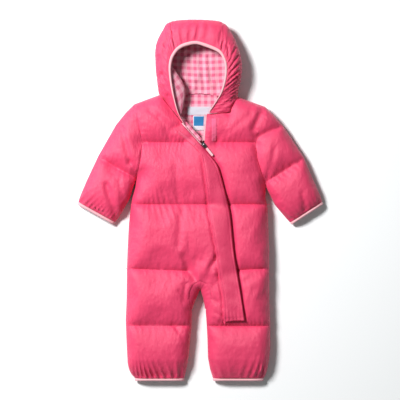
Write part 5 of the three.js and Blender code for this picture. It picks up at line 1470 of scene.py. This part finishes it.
shell_cloth = shell_material("shell nylon")
# The flap is the same nylon painted 7 per cent darker: painted shade for the flat flap, which catches less
# light than the puffed panels.
flap_cloth_painted_shade = shell_material("flap nylon painted shade", 0.93)

# %% Fleece in a two-tone check
CHECK = 0.0137
CHECK_PALE, CHECK_MID, CHECK_DEEP = (0.82, 0.40, 0.49), (0.76, 0.23, 0.34), (0.60, 0.045, 0.15)


def fleece_material(name):
    m = Nodes(name, CHECK_MID, 0.95, Specular_IOR_Level=0.1, Sheen_Weight=0.4, Sheen_Roughness=0.6)
    place = m.coordinates("UV")
    split = m.add("ShaderNodeSeparateXYZ")
    fuzz = m.noise(place, 900.0, 2.0)
    wobble = m.math("MULTIPLY", m.math("SUBTRACT", fuzz, 0.5), 0.0022)
    m.link(place, split.inputs[0])
    bands = []
    for axis in "XY":
        moved = m.math("ADD", split.outputs[axis], wobble)
        cycle = m.math("SINE", m.math("MULTIPLY", moved, 2 * np.pi / CHECK))
        band = m.math("MULTIPLY", cycle, 3.2)
        half = m.math("ADD", m.math("MULTIPLY", band, 0.5), 0.5)
        clamp = m.add("ShaderNodeClamp")
        m.link(half, clamp.inputs[0])
        bands.append(clamp.outputs[0])
    one = m.math("MAXIMUM", *bands)
    both = m.math("MULTIPLY", *bands)
    checked = m.blend(both, m.blend(one, CHECK_PALE, CHECK_MID), CHECK_DEEP)
    m.colour(m.blend(m.math("MULTIPLY", fuzz, 0.35), checked, CHECK_PALE))
    pile = m.noise(place, 1500.0, 3.0, 0.7)
    lumps = m.noise(place, 260.0, 2.0)
    m.bump((lumps, 0.0008), (pile, 0.0005))
    return m.material


fleece = fleece_material("checked fleece")

# %% Elastic, tapes, thread, labels and metal
ELASTIC_PINK = (0.86, 0.47, 0.51)


def elastic_material():
    m = Nodes("knitted elastic", ELASTIC_PINK, 0.85, Specular_IOR_Level=0.2, Sheen_Weight=0.3)
    place = m.coordinates()
    m.colour(m.blend(m.noise(place, 300.0, 3.0), ELASTIC_PINK, (0.80, 0.38, 0.43)))
    m.bump((m.noise(place, 1400.0, 2.0), 0.0004))
    return m.material


def woven_material(name, colour, dark, step=0.0011, sheen=0.1):
    m = Nodes(name, colour, 0.75, Specular_IOR_Level=0.25, Sheen_Weight=sheen)
    place = m.coordinates("UV")
    across = m.wave(place, 0.31 / step, "X")
    along = m.wave(place, 0.31 / step, "Y")
    weave = m.math("MULTIPLY", across, along)
    m.colour(m.blend(weave, dark, colour))
    m.bump((weave, 0.00025))
    return m.material


def size_label_material():
    """White satin with a blue woven field."""
    m = Nodes("size label satin", (0.8, 0.8, 0.86), 0.6)
    place = m.coordinates("UV")
    split = m.add("ShaderNodeSeparateXYZ")
    m.link(place, split.inputs[0])
    down_side = m.math("ABSOLUTE", m.math("SUBTRACT", split.outputs["Y"], 0.0118))
    inside = m.math("MULTIPLY", m.math("LESS_THAN", down_side, 0.0100),
                    m.math("LESS_THAN", m.math("ABSOLUTE", split.outputs["X"]), 0.0110))
    m.colour(m.blend(inside, (0.66, 0.66, 0.72), (0.0, 0.17, 0.40)))
    m.bump((m.math("MULTIPLY", m.wave(place, 380.0, "X"), m.wave(place, 380.0, "Y")), 0.0002))
    return m.material


def plain_material(name, colour, roughness, metallic=0.0, grain=0.00005):
    m = Nodes(name, colour, roughness, Metallic=metallic)
    m.bump((m.noise(m.coordinates(), 900.0, 3.0), grain))
    return m.material


elastic = elastic_material()
hook_tape = woven_material("hook tape", (0.80, 0.14, 0.24), (0.72, 0.08, 0.17), 0.0016)
loop_tape = woven_material("loop tape", (0.86, 0.16, 0.28), (0.80, 0.11, 0.23), 0.0014)
zip_tape = woven_material("zip tape", (0.90, 0.55, 0.60), (0.80, 0.40, 0.47), 0.0009)
label_cloth = woven_material("label satin", (0.70, 0.70, 0.76), (0.60, 0.60, 0.68), 0.0008)
tab_cloth = size_label_material()
thread = plain_material("thread", (0.78, 0.07, 0.18), 0.6)
pale_thread = plain_material("pale thread", (0.88, 0.45, 0.52), 0.6)
teeth_pink = plain_material("moulded teeth", (0.88, 0.42, 0.50), 0.35)
gunmetal = plain_material("gunmetal", (0.20, 0.19, 0.21), 0.3, 1.0, 0.00003)
pull_rubber = plain_material("pull cord end", (0.80, 0.46, 0.51), 0.5, 0.0, 0.0001)

# %% [markdown]
# ## Seam stitches
#
# The quilting lines, flap, bindings and placket carry a visible row of stitches. Their paths are the same
# table rows that shape the troughs, laid on the finished cloth, so a stitch always sits in its seam.

# %% Stitch paths
STITCH_STEP, STITCH = 3.2, (2.5, 0.75, 0.55)
all_tops = surface_of(front_right, front_left, front_left_shin, gusset, *sleeves.values(), *hood.values())
quilt_paths = []
for x1, y1, x2, y2 in columns(QUILTING, *SEGMENT):
    a, b = np.array([x1, y1]), np.array([x2, y2])
    path = [lerp(a, b, t) for t in np.linspace(0, 1, 60)]
    inside = [p for p in path if float(distance(p[0], p[1], OUTLINE).min()) > 4]
    if len(inside) > 1:
        quilt_paths.append(laid(inside, all_tops, 0.1))
flap_paths = []
for inset, tree in ((4.2, on_flap), (-4.2, on_flap)):
    share = np.linspace(0.26, 0.985, 260)
    a, b = flap_plan(0 * share, share), flap_plan(0 * share + 1, share)
    wide = np.linalg.norm(b - a, axis=1, keepdims=True)
    line = a + (b - a) * (inset / wide if inset > 0 else 1 + inset / wide)
    flap_paths.append(laid(line, tree, 0.12))
end_a, end_b = flap_plan(np.array([0.1, 0.9]), np.array([0.986, 0.986]))
flap_paths.append(laid([end_a, end_b], on_flap, 0.12))
placket_paths = [
    laid([(24.5, 176), (22.5, 128)], fronts, 0.1), laid([(35.5, 170), (35.0, 122)], fronts, 0.1),
    laid([(-44, 140.5), (-9, 113.6)], on_flap, 0.2), laid([(-42.4, 145.4), (-7.6, 119)], on_flap, 0.2),
]
seam_paths = []
for t, offset in ((RIGHT_GUSSET_SEAM, -4.0), (LEFT_GUSSET_SEAM, 4.0)):
    seam_paths.append(laid([(x + offset, y) for x, y in columns(t, "x", "y")][1:], all_tops, 0.1))
for t, side in ((RIGHT_ARMHOLE, 1), (LEFT_ARMHOLE, -1)):
    path = np.array([(x + side * 2.2, y) for x, y in columns(t, "x", "y")])
    path = np.vstack([lerp(path[:-1], path[1:], 0.1), path[-1:]])
    seam_paths.append(laid(path, all_tops, 0.1))
for station_at, offset in ((SEAM_RIGHT, -0.045), (SEAM_LEFT, 0.045)):
    turns = np.linspace(0.06, 0.97, 60)
    line = hood_surface(np.full(60, station_at + offset), turns, np.zeros((60, 2)))
    seam_paths.append(laid(line[:, :2], all_tops, 0.1, step=1.2))
hem_paths = []
for x0, x1 in ((RIGHT_SIDE["x"][-1], RIGHT_INSEAM["x"][-1]), (LEFT_INSEAM["x"][-1], LEFT_SIDE["x"][-1])):
    hem_paths.append(laid([(lerp(x0, x1, 0.08), HEM + 2.2), (lerp(x0, x1, 0.92), HEM + 2.2)], all_tops, 0.1))
stitches = row_of(
    "seam_stitches", quilt_paths + flap_paths + placket_paths + seam_paths + hem_paths, STITCH_STEP, STITCH,
    thread)
label_edges = [
    [(-24, 180.5), (22, 180.5)], [(-24, 194.5), (22, 194.5)], [(-12.5, 148), (8.5, 148)],
]
label_top = LABEL_REST + LABEL_THICK + 0.2
label_stitches = row_of(
    "label_stitches", [[(x, y, label_top) for x, y in path] for path in label_edges], 2.6,
    (1.8, 0.45, 0.35), pale_thread)
tooth_paths = []
for a, b, dz in (((-37.0, 160.2), (2.4, 117.0), 1.2), ((9.8, 179), (4.9, 124), -1.2)):
    tooth_paths.append(laid([a, b], fronts, dz))
teeth = row_of("zip_teeth", tooth_paths, 2.0, (1.1, 2.2, 1.3), teeth_pink, rounded=False)

# %% [markdown]
# ## What stands for what
#
# Each piece rides on its body and replaces its plain solid. The slider, its ring and the grip keep their
# solids, which are hard parts, and only get a finish. The cut sizes of the lining halves are worked out
# and printed.

# %% Rides and finishes
padded_pieces = {
    "front_right": front_right, "front_left": front_left, "front_left_shin": front_left_shin,
    "sleeve_right": sleeves["right"], "sleeve_left": sleeves["left"],
    "back_right": backs["right"], "back_left": backs["left"], "crotch_gusset": gusset, **hood,
    "storm_flap": flap,
}
finishes = {
    **{node: (piece, shell_cloth, "shell") for node, piece in padded_pieces.items()},
    "storm_flap": (flap, flap_cloth_painted_shade, "shell"),
    **{node: (piece, fleece, "lining") for node, piece in linings.items()},
    **{node: (piece, elastic, "binding") for node, piece in bindings.items()},
    "neck_lining": (strips["neck_lining"], fleece, "lining"),
    "zip_facing": (strips["zip_facing"], fleece, "lining"),
    "flap_hook_tape": (strips["flap_hook_tape"], hook_tape, "fastening"),
    "front_loop_tape": (strips["front_loop_tape"], loop_tape, "fastening"),
    "zip_tape_right": (strips["zip_tape_right"], zip_tape, "zip_tape"),
    "zip_tape_left": (strips["zip_tape_left"], zip_tape, "zip_tape"),
    "neck_label": (strips["neck_label"], label_cloth, "label"),
    "size_label": (strips["size_label"], tab_cloth, "size_label"),
}


def cut_of(piece):
    """Width and length of the cut, and its area, from the map that lays the cloth flat."""
    uv = np.array([loop.uv[:] for loop in piece.data.uv_layers["flat"].data])
    size = np.ptp(uv, axis=0)
    twice = 0
    for face in piece.data.polygons:
        x, y = uv[list(face.loop_indices)].T
        twice += abs(np.dot(x, np.roll(y, 1)) - np.dot(y, np.roll(x, 1)))
    area = twice / 4  # each face counts double, and the wall has two sheets
    print(piece.name, "cut:", (size / MM).round(), "mm, area", round(area, 4), "m2")
    return tuple(float(v) for v in size), float(area)


for node, (piece, material, slot) in finishes.items():
    piece.data.materials.clear()
    piece.data.materials.append(material)
    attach(piece, "suit")
    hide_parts(node)
for piece in linings.values():
    flat, area = cut_of(piece)
for piece, slot in ((stitches, "shell"), (label_stitches, "label"), (teeth, "zip_tape")):
    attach(piece, "suit")
for node, material in (("zip_slider", gunmetal), ("pull_bail", gunmetal), ("pull_grip", pull_rubber)):
    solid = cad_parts[node]
    solid.data.materials.clear()
    solid.data.materials.append(material)

# %% [markdown]
# ## Floor, camera and light
#
# A white table seen from straight above through a long lens, which keeps the cuffs and hems from leaning
# outwards. One soft lamp on the left gives the darker right flanks and the shadows on the right; a dim
# room fills the rest.

# %% Studio
scene = bpy.context.scene
TABLE_HALF, TABLE_Z = 3000, -0.2
table_corners = [(a * TABLE_HALF, b * TABLE_HALF, TABLE_Z) for a, b in ((-1, -1), (1, -1), (1, 1), (-1, 1))]
floor = new_mesh("floor", table_corners, [(0, 1, 2, 3)])
paper = plain_material("white paper", (0.92, 0.92, 0.93), 0.9)
floor.data.materials.append(paper)

VIEW_WIDTH = 0.84
camera = bpy.data.objects.new("camera", bpy.data.cameras.new("camera"))
scene.collection.objects.link(camera)
scene.camera = camera
camera.data.lens, camera.data.sensor_width = 200, 36
camera.data.clip_end = 50
camera.location = (0, 0, VIEW_WIDTH * camera.data.lens / camera.data.sensor_width + 0.03)


def area_lamp(name, place, size, power, colour=(1, 1, 1)):
    light = bpy.data.lights.new(name, "AREA")
    light.energy, light.size, light.color = power, size, colour
    lamp = bpy.data.objects.new(name, light)
    scene.collection.objects.link(lamp)
    lamp.location = place
    lamp.rotation_euler = (Vector((0, 0, 0)) - lamp.location).to_track_quat("-Z", "Y").to_euler()


area_lamp("key", (-1.5, 1.15, 2.15), 0.7, 124)
world = bpy.data.worlds.new("room")
scene.world = world
world.use_nodes = True
world.node_tree.nodes["Background"].inputs["Color"].default_value = (0.88, 1, 0.98, 1)
world.node_tree.nodes["Background"].inputs["Strength"].default_value = 0.19
scene.view_settings.view_transform = "Standard"
